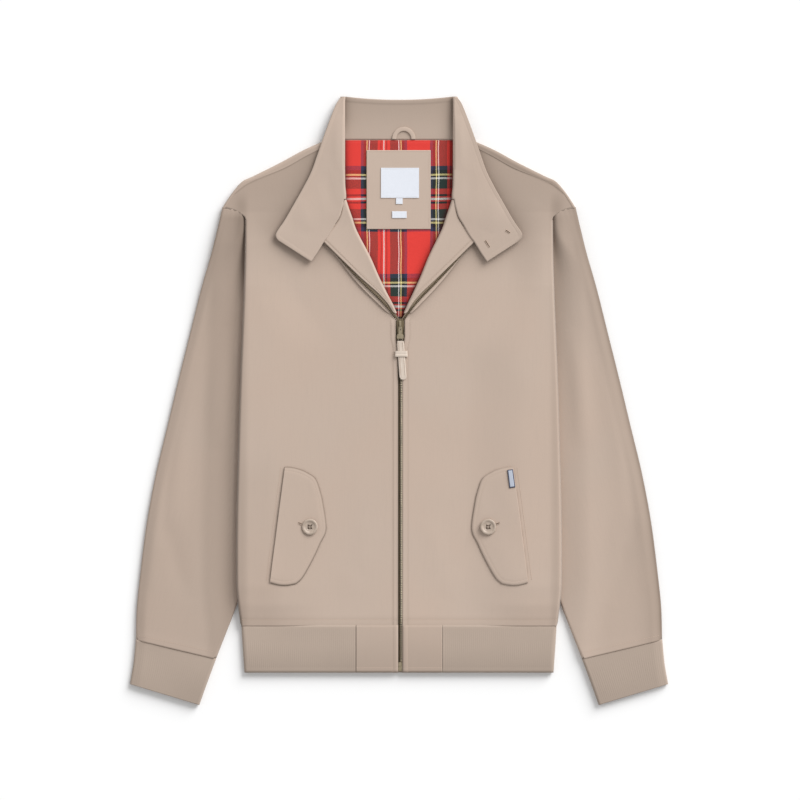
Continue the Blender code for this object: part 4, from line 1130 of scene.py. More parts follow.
def collar_half():
    """The grids of the collar's half on the wearer's left, by fractional rows of WING."""
    t = np.arange(0, LAST_ROW + 0.001, 0.1)
    inner = points_of(WING, t, "inner_x", "inner_y")
    outer = points_of(WING, t, "outer_x", "outer_y")
    high, tip = along(WING["inner_z"], t), along(WING["outer_z"], t)
    rolled = np.clip(9.0 - t, 0, 1)
    start = inner + np.stack([(COLLAR_WALL / 2 + ROLL_BULGE) * rolled, 0 * t], -1)
    wide = np.linalg.norm(outer - start, axis=-1)[:, None]
    near = stations(8.0, 1.3, (COLLAR_STITCH,))
    held = np.minimum(near[None, :], wide * near[None, :] / 16.0)
    rest = np.linspace(0, 1, 26)[None, 1:]
    distance = np.concatenate([held, mix(held[:, -1:], wide, rest)], axis=1)
    plan = outer[:, None] + (start - outer)[:, None] * (distance / wide)[..., None]
    wing = with_height(plan, mix(tip[:, None], high[:, None], distance / wide))
    across = unit(inner[-1] - outer[-1])
    past = plan - outer[-1]
    from_end = np.abs(past[..., 0] * across[1] - past[..., 1] * across[0])
    relief = stitched(np.minimum(distance, from_end), COLLAR_STITCH, 0.2, 0.16)
    relief += folds(WING_FOLDS, plan[..., 0], plan[..., 1]) * ease(0, 10, distance)
    wing = lifted(wing, relief)
    fold = t <= ROLL_ROWS + 0.001
    low = np.interp(t, range(8), WING["fold_z"])
    bend = arc(inner, (1.0, 0.0), low, high, ROLL_BULGE, COLLAR_WALL)
    bend[~fold] = np.nan
    under = t <= FOLD_ROWS + 0.001
    far = np.stack([np.interp(t, range(8), WING["fold_x"]), inner[:, 1], low], -1)
    ring_arc = arc(far[:, :2], (-1.0, 0.0), COLLAR_WALL / 2, low, RING_BULGE, COLLAR_WALL)
    ring = t <= RING_ROWS + 0.001
    hidden = np.where(ring[:, None, None], ring_arc[:, :1], far[:, None])
    hidden = mix(bend[:, -1:], hidden, np.array([0.5, 1.0])[:, None])
    hidden[~under] = np.nan
    ring_arc[~ring] = np.nan
    column = nearest(near, COLLAR_STITCH)
    front_part = np.concatenate([wing, bend, hidden], axis=1)
    return front_part, ring_arc[ring], wing, t, column


def collar():
    """The whole collar: both halves and the layer behind the neck."""
    front_part, ring_arc, wing, t, column = collar_half()
    share = (ring_arc[:, -1, 1] - COLLAR_Y) / (WING["inner_y"][0] - COLLAR_Y)
    s = np.linspace(1, -1, 61)
    x = ring_arc[:, -1, :1] * s
    top = mix(COLLAR_TOP_Y, WING["inner_y"][0], np.minimum(1.0, np.abs(x) / 70) ** 2)
    y = mix(COLLAR_Y + SEAM, top, share[:, None])
    behind = laid(x, y, COLLAR_WALL / 2)
    relief = stitched((1 - share[:, None]) * COLLAR_DEEP + 0 * x, COLLAR_STITCH, 0.25, 0.5)
    behind = lifted(behind, relief - 0.12 * drape(x * 1.4, y))
    ring_arc[..., 1] = np.maximum(ring_arc[..., 1], COLLAR_Y + SEAM)
    grids = [front_part, ring_arc]
    grids += [(grid * MIRROR)[:, ::-1] for grid in grids] + [behind]
    piece = cloth("collar_cloth", grids, COLLAR_WALL, twill_collar, (520.0, 130.0))
    paint_shade_wear_and_highlights(piece, 1, collar_painted_shade, collar_edge)
    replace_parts(piece, "collar")
    last = nearest(along(WING["outer_y"], t), 213.0)
    row = len(t) - 1 - int(COLLAR_STITCH / 2.0 / 1.3)
    rows = (wing[4:last, column], wing[row, column:-2])
    lines = [on_top(line * (side, 1, 1), COLLAR_WALL - 0.5) for side in (1, -1) for line in rows]
    stitching("collar_stitches", lines, cloth_thread)


def beyond_wing(x, y):
    """How far out a place lies from the collar's outer edge."""
    return np.abs(x) - np.interp(y, WING["outer_y"][::-1], WING["outer_x"][::-1])


def collar_painted_shade(x, y, z):
    """Painted shade where the collar's back layer runs in under the wings, and on its far rim."""
    inside = (z < 4.0) & (np.abs(x) < 74)
    sides = 0.8 * np.exp(-(72.0 - np.abs(x)) / 5.5) * ease(336, 372, y)
    outer = beyond_wing(x, y)
    rim = 0.4 * bell(outer, 1.8) * (z > 6) * (x > 0)
    return inside * (sides + 0.22 * ease(345, 395, y) + 0.14) + rim


def collar_edge(x, y, z):
    """The rubbed fold of the roll line and the collar's turned edges."""
    roll = bell(np.abs(x) - 70.5, 2.2) * (y > 262) * (z > 7)
    outer = beyond_wing(x, y)
    return 0.12 * roll + 0.08 * bell(outer, 1.8) * (z > 6)


def buttonhole(name, start, end, height, side):
    """A keyhole's bar of close stitches round a slit, raised on the cloth."""
    a, b = np.array(start, float), np.array(end, float)
    run = unit(b - a)
    across = on_right(run)
    lines = []
    for n in np.arange(0, np.linalg.norm(b - a), 0.75):
        for s in (-1, 1):
            near, far = a + run * n + across * s * 0.35, a + run * n + across * s * 1.5
            lines.append([(*near, height), (*far, height)])
    stitching(name, lines, cloth_thread, side, pitch=1.14, radius=0.3)
    # A dark sheet of painted shade fills the slit
    edge = across * 0.3
    corners = [(x * side, y, height + 0.02) for x, y in (a - edge, b - edge, b + edge, a + edge)]
    slit = new_mesh(f"{name}_slit", corners, [(0, 1, 2, 3) if side > 0 else (3, 2, 1, 0)])
    show(f"{name}_slit", slit, dark_gap)


def gap_shade():
    """Painted shade: the dark inside an opening in the cloth."""
    made, shader, wire = new_material("gap_shade")
    fuzz = wire.node("ShaderNodeTexNoise", None, {"Scale": 800.0})
    dark = mix_colours(fuzz, (0.07, 0.05, 0.04), (0.12, 0.085, 0.065))
    feed(shader, {"Base Color": dark, "Roughness": 0.95})
    return made


dark_gap = gap_shade()
twill_collar = twill("twill_collar", times(TWILL, 0.97), turn=radians(-12))
collar()
for number, (start, end, height) in enumerate(BUTTONHOLES):
    buttonhole(f"collar_buttonhole_{number}", start, end, height, 1)

# ------------------------------------------------------------------ the sleeves
# Set-in sleeves of the same twill, whole tubes pressed flat. They run in under the body, are
# fuller beside it than beneath it, and are slightly gathered into the armhole at the head.
SLEEVE_WALL = 2.2
SLEEVE_UNDER_Z, SLEEVE_FLAT_Z, SLEEVE_LOFT_Z = 1.1, 4.1, 7.4
SLEEVE_HEAD_LOW = 0.3  # the head's middle lies this far below the front's
TUBE_BULGE = 1.6
CUFF_STITCH = 4.6
CUFF_DROP = 0.35  # the sleeve comes down to its cuff
SLEEVE_SHADE = {  # by side: distances from the body's edge, and how deep the shade is there
    -1: ((0, 3, 6, 10, 16, 26, 39, 50, 65, 90),
         (0.1, 0.1, 0.32, 0.6, 0.6, 0.5, 0.4, 0.22, 0.16, 0.14)),
    1: ((0, 3, 6, 10, 16, 26, 40, 70), (0.6, 0.62, 0.54, 0.42, 0.24, 0.1, 0.06, 0.1)),
}
UPPER_SHADE = {-1: (1.2, 24.0), 1: (0.55, 12.0)}  # beside the chest: how deep, and how wide
TURN = np.array([-67, -45, -22, 0, 22, 45, 67])  # degrees round a tube's edge
SLEEVE_FOLDS = dict(
    x0=(253, 292, 262, 222, 318, 226, 236, 231, 240, 300),
    y0=(150, 20, 60, 96, -120, 236, 238, 222, 214, -150),
    x1=(297, 306, 300, 236, 322, 238, 252, 248, 262, 272),
    y1=(-40, -190, -170, -60, -250, 190, 196, 180, 176, -262),
    width=(13, 12, 15, 13, 9, 4.5, 4.5, 4.0, 5.0, 12),
    height=(1.5, 1.1, -0.9, -1.2, -0.7, -0.7, 0.7, -0.6, 0.6, 0.7),
)


def tube(table, rows, bow, height, under, wall, top, below):
    """Sections of a flattened tube: over the top from its outer edge, and back underneath.

    top and below are the points across both layers. Returns the upper layer's grid, the rest's,
    and how far each point of the upper layer lies from the outer edge.
    """
    outer, outer_out = place_on(table, "outer_x", "outer_y", rows)
    inner, inner_out = place_on(table, "inner_x", "inner_y", rows)
    reach = wall / 2 + TUBE_BULGE
    starts, ends = outer - outer_out * reach, inner + inner_out * reach

    def section(s):
        plan = starts[:, None] + (ends - starts)[:, None] * s[None, :, None]
        plan[..., 1] += bow[:, None] * np.sin(np.pi * s)
        return plan

    def turn(edge, square, level, angles):
        a = np.radians(angles)
        place = edge[:, None] + square[:, None] * (TUBE_BULGE * np.cos(a))[None, :, None]
        return with_height(place, mix(under, level[:, None], (1 + np.sin(a)) / 2))

    even = np.linspace(0, 1, top)
    s = mix(even, (1 - np.cos(np.pi * even)) / 2, 0.4)
    plan = section(s)
    off = s * np.linalg.norm(inner - outer, axis=-1)[:, None]
    upper = with_height(plan, height(plan[..., 0], plan[..., 1], off, rows[:, None]))
    lower = section(np.linspace(1, 0, below))
    lower = with_height(lower, np.full(lower.shape[:2], under))
    inner_turn = turn(ends, -inner_out, upper[:, -1, 2], -TURN)
    outer_turn = turn(starts, outer_out, upper[:, 0, 2], TURN)
    return upper, np.concatenate([inner_turn, lower, outer_turn], axis=1), off


def from_side(x, y):
    """How far a place lies out beyond the body's folded side."""
    return np.abs(x) - at_height(SIDE, np.clip(y, -350, 246))


def sleeve_height(x, y, off, row):
    """The sleeve's upper layer: full beside the body, flat under it, lower at its outer edge."""
    head = ease(8.4, 10.7, row)
    beside = ease(mix(5.0, 0.5, head), mix(38.0, 7.0, head), from_side(x, y))
    height = mix(SLEEVE_FLAT_Z, mix(SLEEVE_FLAT_Z, SLEEVE_LOFT_Z, beside), ease(-6, 12, off))
    return mix(height, front_height(x, y) - SLEEVE_HEAD_LOW, ease(7.0, 10.5, row) * beside)


def sleeve(side):
    """A whole sleeve, from its cuff's seam to its head."""
    rows = np.arange(0, 11.001, 0.06)
    bow = CAP_RISE * np.clip((rows - 6) / 5, 0, 1) ** 1.6
    upper, rest, off = tube(SLEEVE, rows, bow, sleeve_height, SLEEVE_UNDER_Z, SLEEVE_WALL, 56, 12)
    x, y = upper[..., 0], upper[..., 1]
    from_cuff = walked_along(upper)
    free = ease(6, 22, off) * ease(0, 26, from_side(x, y))
    relief = (folds(SLEEVE_FOLDS, x, y) + 1.4 * drape(y + 0.3 * x, x)) * free
    gather = np.sin(off / 2.3) * ease(10.3, 11, rows)[:, None] * 0.08 * (off > 6)
    relief += gather + stitched(from_cuff, CUFF_STITCH, 0.14, 0.1)
    upper = lifted(upper, relief - CUFF_DROP * (1 - ease(0, 16, from_cuff)))
    grid = np.concatenate([upper, rest], axis=1)
    head = np.concatenate([rest[:, -8:], upper], axis=1)
    head = tucked(head, 3.4, 0.2)[-4:]
    foot = tucked(upper[::-1], 1.5, 0.35)[:-5:-1]
    ends = [np.pad(end, ((0, 0), (0, 1), (0, 0)), constant_values=np.nan) for end in (head, foot)]
    piece = cloth(f"sleeve_{hand(side)}_cloth", [grid] + ends, SLEEVE_WALL, sleeve_twill[side],
                  (390.0, 600.0), side, closed=True)
    paint_shade_wear_and_highlights(piece, side, sleeve_painted_shade(side), sleeve_worn)
    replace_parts(piece, f"sleeve_{hand(side)}")
    line = on_top(upper[nearest(from_cuff[:, 20], CUFF_STITCH), 1:-2], SLEEVE_WALL - 0.3)
    stitching(f"sleeve_{hand(side)}_stitches", [line], cloth_thread, side)


def sleeve_painted_shade(side):
    """How deep the sleeves' painted shade is; beside the body the right one leans from the light.
    """
    at, deep = SLEEVE_SHADE[side]
    upper_deep, upper_wide = UPPER_SHADE[side]

    def rule(x, y, z):
        beside = x - at_height(SIDE, np.clip(y, -350, 246))
        inside = sleeve_rim(y) - x
        near = np.interp(beside, at, deep)
        upper = np.maximum(near, upper_deep * fading(beside, upper_wide))
        near = mix(near, upper, ease(120, 190, y))
        near = near * mix(1.0, 0.4, ease(236, 252, y))
        low = ease(-120, -200, y) * ease(45, 70, beside)
        if side < 0:
            return near + 0.07 * low + 0.16 * fading(inside, 14.0)
        near = near * mix(0.35, 1.0, ease(-60, 190, y))
        return near + 0.1 * low + 0.45 * bell(inside, 2.5) + 0.66 * fading(inside, 14.0)

    return rule


def sleeve_rim(y):
    return on_line(SLEEVE, y, "outer_x", "outer_y")


def sleeve_worn(x, y, z):
    return 0.1 * bell(x - sleeve_rim(y) + 3.0, 3.0)


def pair(make, name, colour, turn):
    """One cloth for each side, cut at angles that mirror each other."""
    return {s: make(f"{name}_{hand(s)}", colour, radians(turn) * s) for s in (1, -1)}


sleeve_twill = pair(twill, "twill_sleeve", TWILL, -14)
for side in (1, -1):
    sleeve(side)

# ------------------------------------------------------------------ the rib cuffs and hem band
# A two by two rib in cotton with elastane, doubled over at its lower edge. It is sewn to the
# sleeves and the body slightly stretched, so that its ribs stand open at the seam.
RIB_WALL = 2.4
RIB = (0.475, 0.380, 0.312)
RIB_PITCH, RIB_DEEP = 2.6, 0.05
HEM_Y, HEM_TOP_Z, TAB_X, ZIP_GAP = -352.0, 6.4, 55.9, 2.8
CUFF = dict(
    outer_x=(349.7, 345.0, 342.0), outer_y=(-367.2, -340.0, -308.85),
    inner_x=(259.4, 248.4, 237.3), inner_y=(-394.2, -363.5, -333.55),
)


def rib_knit(name, colour, turn=0.0):
    """Fine knit: small loops in columns, darkened by the shade painted on its points."""
    made, shader, wire = new_material(name)
    place = wire.node("ShaderNodeTexCoord", output=3)
    turned = turned_by(place, turn)
    x, y, _ = axes(turned)
    loops = ((y + (x * 4.8).sine() * 0.12) * 6.6).sine()
    columns = (x * 9.7).sine()
    fuzz = noise(place, 1100.0, 3.0)
    broad = noise(place, 16.0, 2.0)
    rib_shade = painted(wire, "hollow")
    base = mix_colours(broad.within(0.3, 0.7) * 0.5, colour, times(colour, 0.93))
    base = mix_colours(fuzz * 0.3 + loops * 0.1, base, times(colour, 0.75))
    base = mix_colours(rib_shade, base, times(colour, 0.5))
    height = loops * 0.7 + columns * 0.5 + fuzz * 0.8
    feed(shader, {
        "Base Color": base,
        "Roughness": 0.9 - fuzz * 0.08,
        "Specular IOR Level": 0.2,
        "Sheen Weight": 0.15,
        "Normal": bump(height, 0.35, 0.0001),
    })
    return made


def ribbed(distance):
    """The height of the ribs across them."""
    return RIB_DEEP * np.clip(1.6 * np.cos(2 * np.pi * distance / RIB_PITCH), -1, 1)


def cuff_height(x, y, off, row):
    """The upper layer, lower along its outer edge."""
    return mix(4.6, 6.4, ease(-6, 12, off))


def cuff(side):
    """A cuff as a flattened tube, its ribs along it."""
    rows = np.concatenate([np.arange(0, 0.2, 0.03), np.arange(0.2, 2.001, 0.09)])
    upper, rest, _ = tube(CUFF, rows, 0 * rows, cuff_height, RIB_WALL / 2, RIB_WALL, 330, 60)
    grid = np.concatenate([upper, rest], axis=1)
    walked = walked_along(grid[10])
    edge = rows / 2
    pull = 0.35 + 0.65 * np.sin(np.pi * np.clip(edge * 1.1, 0, 1)) ** 0.5
    relief = ribbed(walked) * pull[:, None]
    relief += 0.5 * np.sin(walked / 21) * np.sin(np.pi * edge)[:, None]
    relief[:, upper.shape[1]:] = 0
    piece = cloth(f"cuff_{hand(side)}_rib", [lifted(grid, relief)], RIB_WALL, rib_cuff[side],
                  (230.0, 60.0), side, closed=True)
    # Painted shade over the cuff, deeper towards its folded end
    paint_shade_wear_and_highlights(piece, side, lambda x, y, z: 0.13 + 0.2 * (1 - ease(-392, -325, y)))
    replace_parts(piece, f"cuff_{hand(side)}")


def hem_rib():
    """The band from one tab round the side and the back to the other."""
    y = HEM_Y + stations(HEM_SEAM_Y - SEAM - HEM_Y, 3.2, (HEM_STITCH,))[::-1]
    edge = np.column_stack([at_height(SIDE, y), y])
    bend = arc(edge, (-1.0, 0.0), RIB_WALL / 2, HEM_TOP_Z, 2.6, RIB_WALL, 14)
    x = mix(TAB_X + SEAM, bend[:, :1, 0], np.linspace(0, 1, 340)[:-1])
    top = laid(x, np.repeat(y[:, None], x.shape[1], 1), HEM_TOP_Z)
    back_x = bend[:, -1:, 0] * np.linspace(1, 0, 60)[None, 1:]
    behind = laid(back_x, np.repeat(y[:, None], 59, 1), RIB_WALL / 2)
    level = (HEM_SEAM_Y - SEAM - y)[:, None]
    open_up = 0.4 + 0.6 * ease(0, 10, level) * (1 - 0.5 * ease(54, 60, level))
    side_wave = 0.35 * np.sin(x / 27) * np.sin(np.pi * level / 62)
    groove = 0.08 * bell(level - 55, 1.0) + 0.2 * np.exp(-level / 1.2)
    top = lifted(top, groove - ribbed(x[:1] - TAB_X) * open_up - side_wave)
    half = np.concatenate([top, bend, behind], axis=1)
    piece = cloth("hem_rib_band", [half[:, ::-1], half * MIRROR], RIB_WALL, rib_hem, (720.0, 62.0))
    # Painted shade over the band, deeper towards its folded lower edge
    paint_shade_wear_and_highlights(piece, 1, lambda x, y, z: 0.1 + 0.26 * (1 - ease(HEM_Y, -312, y)))
    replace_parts(piece, "hem_rib")


def hem_tab(side):
    """The plain end of the band, topstitched along the zip and the seam above it."""
    y = HEM_Y + stations(HEM_SEAM_Y - SEAM - HEM_Y, 3.2, (HEM_STITCH,))
    x = ZIP_GAP + stations(TAB_X - ZIP_GAP, 2.6, (ZIP_STITCH, TAB_X - ZIP_GAP - 3.0))
    x, y = np.meshgrid(x, y)
    relief = stitched(x - ZIP_GAP, ZIP_STITCH, 0.3, 0.25) + stitched(TAB_X - x, 3.0, 0.12, 0.06)
    relief += stitched(y - HEM_Y, HEM_STITCH, 0.1, 0.05) + 0.8 * drape(x * 2, y * 2)
    relief -= 0.2 * np.exp(-(HEM_SEAM_Y - SEAM - y) / 1.2)
    grid = lifted(laid(x, y, HEM_TOP_Z), relief)
    piece = cloth(f"hem_tab_{hand(side)}_cloth", [grid], RIB_WALL, twill_tab, (53.1, 61.8), side)

    # Painted shade over the tab, deeper towards its lower edge and in thin lines at its seam and
    # edge
    def rims(x, y, z):
        seam = 0.3 * np.exp((y - HEM_SEAM_Y) / 1.2) + 0.3 * np.exp((HEM_Y - y) / 1.2)
        return 0.17 + 0.22 * (1 - ease(HEM_Y, -290, y)) + seam

    paint_shade_wear_and_highlights(piece, side, rims)
    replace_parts(piece, f"hem_tab_{hand(side)}")
    row, column = nearest(y[:, 0] - HEM_Y, HEM_STITCH), nearest(x[0] - ZIP_GAP, ZIP_STITCH)
    lines = [on_top(grid[row, column:], RIB_WALL - 0.3), on_top(grid[:, column], RIB_WALL - 0.3)]
    stitching(f"hem_tab_{hand(side)}_stitches", lines, cloth_thread, side)


rib_cuff = pair(rib_knit, "rib_cuff", RIB, -24)
rib_hem = rib_knit("rib_hem", RIB)
twill_tab = twill("twill_tab", TWILL)
hem_rib()
for side in (1, -1):
    cuff(side)
    hem_tab(side)

# ------------------------------------------------------------------ the pocket flaps
# Two layers of twill turned and topstitched 5 mm inside the free edge. The slanted outer edge is
# caught in the front's seam beside a second row of stitches; a buttonhole takes the flap's button.
FLAP_LIFT = SHELL + 0.7
FLAP_STITCH = 5.0
FLAP_BUTTON = (115.7, -162.6)
FLAP_BUTTONHOLE = ((121.6, -160.4), (130.6, -157.2))


def front_face(x, y):
    """The middle of the front's cloth with its folds, as on the pieces that lie on it."""
    return front_height(x, y) + folds(CREASES, x, y) + drape(x, y)


def pocket_flap(side):
    """A flap with its stitches, the seam that holds it, and its buttonhole."""
    name = f"pocket_flap_{hand(side)}"
    t, s = np.arange(0, 8.001, 0.045)[:, None], np.linspace(0, 1, 76)[None, :]
    sewn = points_of(FLAP, t, "sewn_x", "sewn_y")
    free = points_of(FLAP, t, "free_x", "free_y")
    plan = mix(sewn, free, s[..., None])
    x, y = plan[..., 0], plan[..., 1] + along(FLAP["bulge"], t) * np.sin(np.pi * s)
    plan = np.stack([x, y], -1)
    outline = np.concatenate([plan[0, ::6], plan[::4, -1], plan[-1, ::-6]])
    inside = to_outline(x, y, outline)
    pressed = 0.45 * bell(np.hypot(x - FLAP_BUTTON[0], y - FLAP_BUTTON[1]), 13.0)
    relief = stitched(inside, FLAP_STITCH, 0.16, 0.08) - 0.8 * np.exp(-inside / 1.2) - pressed
    relief += 0.12 * np.sin(x / 9.0 + y / 15.0) * ease(4, 16, inside)
    relief -= 0.3 * (1 - ease(1, 9, inside))
    grid = np.stack([x, y, front_face(x, y) + FLAP_LIFT + relief], -1)
    piece = cloth(f"{name}_cloth", [grid], SHELL, twill_flap[side], (73.0, 152.0), side)
    # Painted shade: a dark line round the flap's edge, and on the right flap where its slope faces
    # the light; on the left flap a painted highlight where its slope leans from the light
    rim, lit = (0.6, 2.2) if side > 0 else (1.0, 0.0)

    def outlined(u, v, w):
        return rim * bell(to_outline(u, v, outline), 1.2) + (0.04 + leaning(u, v)) * (side < 0)

    paint_shade_wear_and_highlights(piece, side, outlined, lambda u, v, w: lit * leaning(u, v))
    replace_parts(piece, name)
    stitches = []
    for a, b in zip(outline[1:], outline[2:]):
        spot = a - on_right(b - a) / max(np.linalg.norm(b - a), 1e-9) * FLAP_STITCH
        if to_outline(*spot, outline) > FLAP_STITCH - 0.25:
            below = np.argmin(np.hypot(x - spot[0], y - spot[1]))
            stitches.append((*spot, grid[..., 2].flat[below] + SHELL / 2 - 0.2))
    stitching(f"{name}_stitches", [stitches], cloth_thread, side)
    beside = sewn[:, 0] + (5.0, 0.4)
    beside = with_height(beside, front_face(*beside.T) + SHELL / 2)
    stitching(f"pocket_seam_{hand(side)}", [beside], cloth_thread, side)
    tall = front_face(*FLAP_BUTTONHOLE[1]) + FLAP_LIFT + SHELL / 2 + 0.15
    buttonhole(f"pocket_buttonhole_{hand(side)}", *FLAP_BUTTONHOLE, tall, side)


twill_flap = pair(twill, "twill_flap", TWILL, 8)
for side in (1, -1):
    pocket_flap(side)

# ------------------------------------------------------------------ the buttons
# Turned resin buttons with a raised rim and four holes, sewn on with four bars of thread: one on
# each pocket flap, and two smaller ones under the collar's end on the wearer's right.
BUTTON_PROFILE = (  # shares of the radius and of the thickness
    (0, 0.60), (0.32, 0.58), (0.54, 0.60), (0.61, 0.66), (0.67, 0.82), (0.74, 0.95), (0.81, 1.0),
    (0.89, 0.97), (0.95, 0.87), (0.99, 0.7), (1.0, 0.5), (0.985, 0.28), (0.93, 0.1), (0.85, 0.0),
    (0, 0.0),
)
FOUR_HOLES = ((-1, -1), (1, -1), (1, 1), (-1, 1))
COLLAR_BUTTONS = ((-114.4, 210.0), (-137.8, 219.1))


def resin():
    """Cast resin, faintly clouded like horn and polished by tumbling."""
    made, shader, wire = new_material("button_resin")
    place = wire.node("ShaderNodeTexCoord", output=3)
    cloud = noise(place, 160.0, 3.0, Distortion=1.6).within(0.35, 0.65)
    grain = noise(place, 900.0, 2.0)
    feed(shader, {
        "Base Color": mix_colours(cloud, (0.47, 0.38, 0.31), (0.40, 0.32, 0.255)),
        "Roughness": 0.46 + grain * 0.12,
        "Coat Weight": 0.1,
        "Coat Roughness": 0.3,
    })
    return made


def button(node, place, diameter, thick, holes):
    """A disc turned about its middle, with four holes drilled through its dished face."""
    name = f"{node}_resin"
    x, y, z = place
    angles = np.radians(np.arange(0, 360, 6))
    profile = np.array(BUTTON_PROFILE) * (diameter / 2, thick)
    ring = np.array([(r * np.cos(a), r * np.sin(a), h) for r, h in profile[1:-1] for a in angles])
    points = np.concatenate([[(0, 0, profile[0][1])], ring, [(0, 0, 0)]]) + (x, y, z)
    faces, last, turn = [], len(points) - 1, len(angles)
    for k in range(turn):
        n = (k + 1) % turn
        faces.append((0, 1 + k, 1 + n))
        faces.append((last, last - turn + n, last - turn + k))
        for r in range(len(profile) - 3):
            a = 1 + r * turn
            faces.append((a + k, a + turn + k, a + turn + n, a + n))
    piece = show(name, new_mesh(name, points, faces), button_resin)
    # The drilled holes take the dark material, painted shade inside them
    piece.data.materials.append(dark_gap)
    drill = bpy.data.meshes.new(f"{name}_drill")
    form = bmesh.new()
    for dx, dy in FOUR_HOLES:
        spot = Vector((x + dx * holes, y + dy * holes, z + thick * 0.6)) * MM
        bmesh.ops.create_cone(form, cap_ends=True, segments=20, radius1=holes * 0.5 * MM,
                              radius2=holes * 0.5 * MM, depth=thick * 0.8 * MM,
                              matrix=Matrix.Translation(spot))
    form.to_mesh(drill)
    form.free()
    drill.materials.append(dark_gap)
    cutter = bpy.data.objects.new(f"{name}_drill", drill)
    bpy.context.scene.collection.objects.link(cutter)
    cut = piece.modifiers.new("holes", "BOOLEAN")
    cut.operation, cut.object, cut.solver = "DIFFERENCE", cutter, "EXACT"
    cut.material_mode = "TRANSFER"
    bpy.context.view_layer.update()
    depsgraph = bpy.context.evaluated_depsgraph_get()
    drilled = bpy.data.meshes.new_from_object(piece.evaluated_get(depsgraph))
    piece.modifiers.clear()
    piece.data = drilled
    bpy.data.objects.remove(cutter)
    face = z + thick * 0.62 + 0.25
    corners = [np.array([x + dx * holes, y + dy * holes, face]) for dx, dy in FOUR_HOLES]
    sewn = []
    for a, b in zip(corners, corners[1:] + corners[:1]):
        for across in (-0.22, 0.22):
            middle = (a + b) / 2 + (across * (a[1] != b[1]), across * (a[0] != b[0]), 0)
            sewn.append((middle - (b - a) * 0.56, middle + (b - a) * 0.56))
    stitching(f"{name}_thread", sewn, brown_thread, pitch=holes * 2.2, radius=0.3)
    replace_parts(piece, node)


button_resin = resin()
brown_thread = thread("thread_brown", (0.17, 0.12, 0.09))
for side in (1, -1):
    u, v = FLAP_BUTTON
    seat = max(front_face(u + du, v + dv) for du in (-10, 0, 10) for dv in (-10, 0, 10))
    seat += FLAP_LIFT + SHELL / 2 - 0.9
    button(f"flap_button_{hand(side)}", (side * u, v, seat), 21.0, 2.8, 1.9)
for name, (u, v) in zip(("low", "high"), COLLAR_BUTTONS):
    seat = front_height(u - 8, v) + SHELL / 2 + 0.35
    button(f"collar_button_{name}", (u, v, seat), 17.0, 2.0, 1.6)

# ------------------------------------------------------------------ the side tag
# A woven tag with a dark border and a plain pale middle, folded into the seam of the left flap.
TAG = ((143.2, -112.2), (150.8, -111.0), (147.6, -87.8), (140.4, -88.8))
TAG_WIDE, TAG_LONG, TAG_BORDER = 7.6, 23.4, 1.1


def side_tag():
    """The tag's border and, raised on it, its plain middle."""
    a, b, c, d = (np.array(p) for p in TAG)

    def panel(inset, lift):
        s, t = (mix(inset / size, 1 - inset / size, np.linspace(0, 1, count))
                for size, count in ((TAG_WIDE, 9), (TAG_LONG, 25)))
        t = t[:, None, None]
        plan = mix(mix(a, b, s[:, None]), mix(d, c, s[:, None]), t)
        height = front_face(plan[..., 0], plan[..., 1]) + FLAP_LIFT + SHELL / 2 + 0.75
        return with_height(plan, height + lift + 0.25 * np.sin(np.pi * t[..., 0]))

    border = cloth("side_tag_border", [panel(0, 0.0)], LABEL_WALL, tag_navy, None)
    cloth("side_tag_middle", [panel(TAG_BORDER, 0.32)], 0.12, tag_pale, None)
    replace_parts(border, "side_tag")


tag_navy = label_satin("tag_navy", (0.035, 0.045, 0.10), 1.0)
tag_pale = label_satin("tag_pale", (0.50, 0.54, 0.63), 1.0)
side_tag()

# ------------------------------------------------------------------ the zip
# A metal zip with antique brass teeth clamped on olive cotton tape. Above the slider its two
# halves are sewn between each turned front and its facing, and run together into the slider.
TAPE_Z = 4.0
TOOTH_PITCH = 2.3
CHAIN_LOW, CHAIN_HIGH = -338.0, 80.9
ZIP_LOW = -349.5
# The same olive tape in two tones, which stand in for light and shade: darker where it lies closed
# under the fronts, paler where it lies open beside the facings
OLIVE, OLIVE_PALE = (0.082, 0.071, 0.043), (0.20, 0.155, 0.108)


def brass(name, colour, rough, bare=1.0):
    """Brass with a brushed antique finish, brown where hands don't rub it."""
    made, shader, wire = new_material(name)
    place = wire.node("ShaderNodeTexCoord", output=3)
    tarnish = noise(place, 420.0, 4.0, Roughness=0.65)
    stain = tarnish.within(0.4, 0.68)
    feed(shader, {
        "Base Color": mix_colours(stain, colour, times(colour, 0.55)),
        "Metallic": bare - stain * 0.35,
        "Roughness": rough + tarnish * 0.15,
        "Normal": bump(tarnish, 0.3, 0.0001),
    })
    return made


def bars(name, places, size, material):
    """Small bevelled bars of one size, each given as its middle and the way its length points."""
    form = bmesh.new()
    bmesh.ops.create_cube(form, size=1.0)
    bmesh.ops.scale(form, vec=size, verts=form.verts)
    bmesh.ops.bevel(form, geom=form.edges, offset=0.28, segments=2, affect="EDGES")
    corners = np.array([v.co for v in form.verts])
    sides = [[v.index for v in face.verts] for face in form.faces]
    form.free()
    points, faces = [], []
    for k, (middle, angle) in enumerate(places):
        c, s = np.cos(angle), np.sin(angle)
        turn = np.array([[c, -s, 0], [s, c, 0], [0, 0, 1]])
        points.append(corners @ turn.T + middle)
        faces += [[i + k * len(corners) for i in face] for face in sides]
    return show(name, new_mesh(name, np.concatenate(points), faces), material)


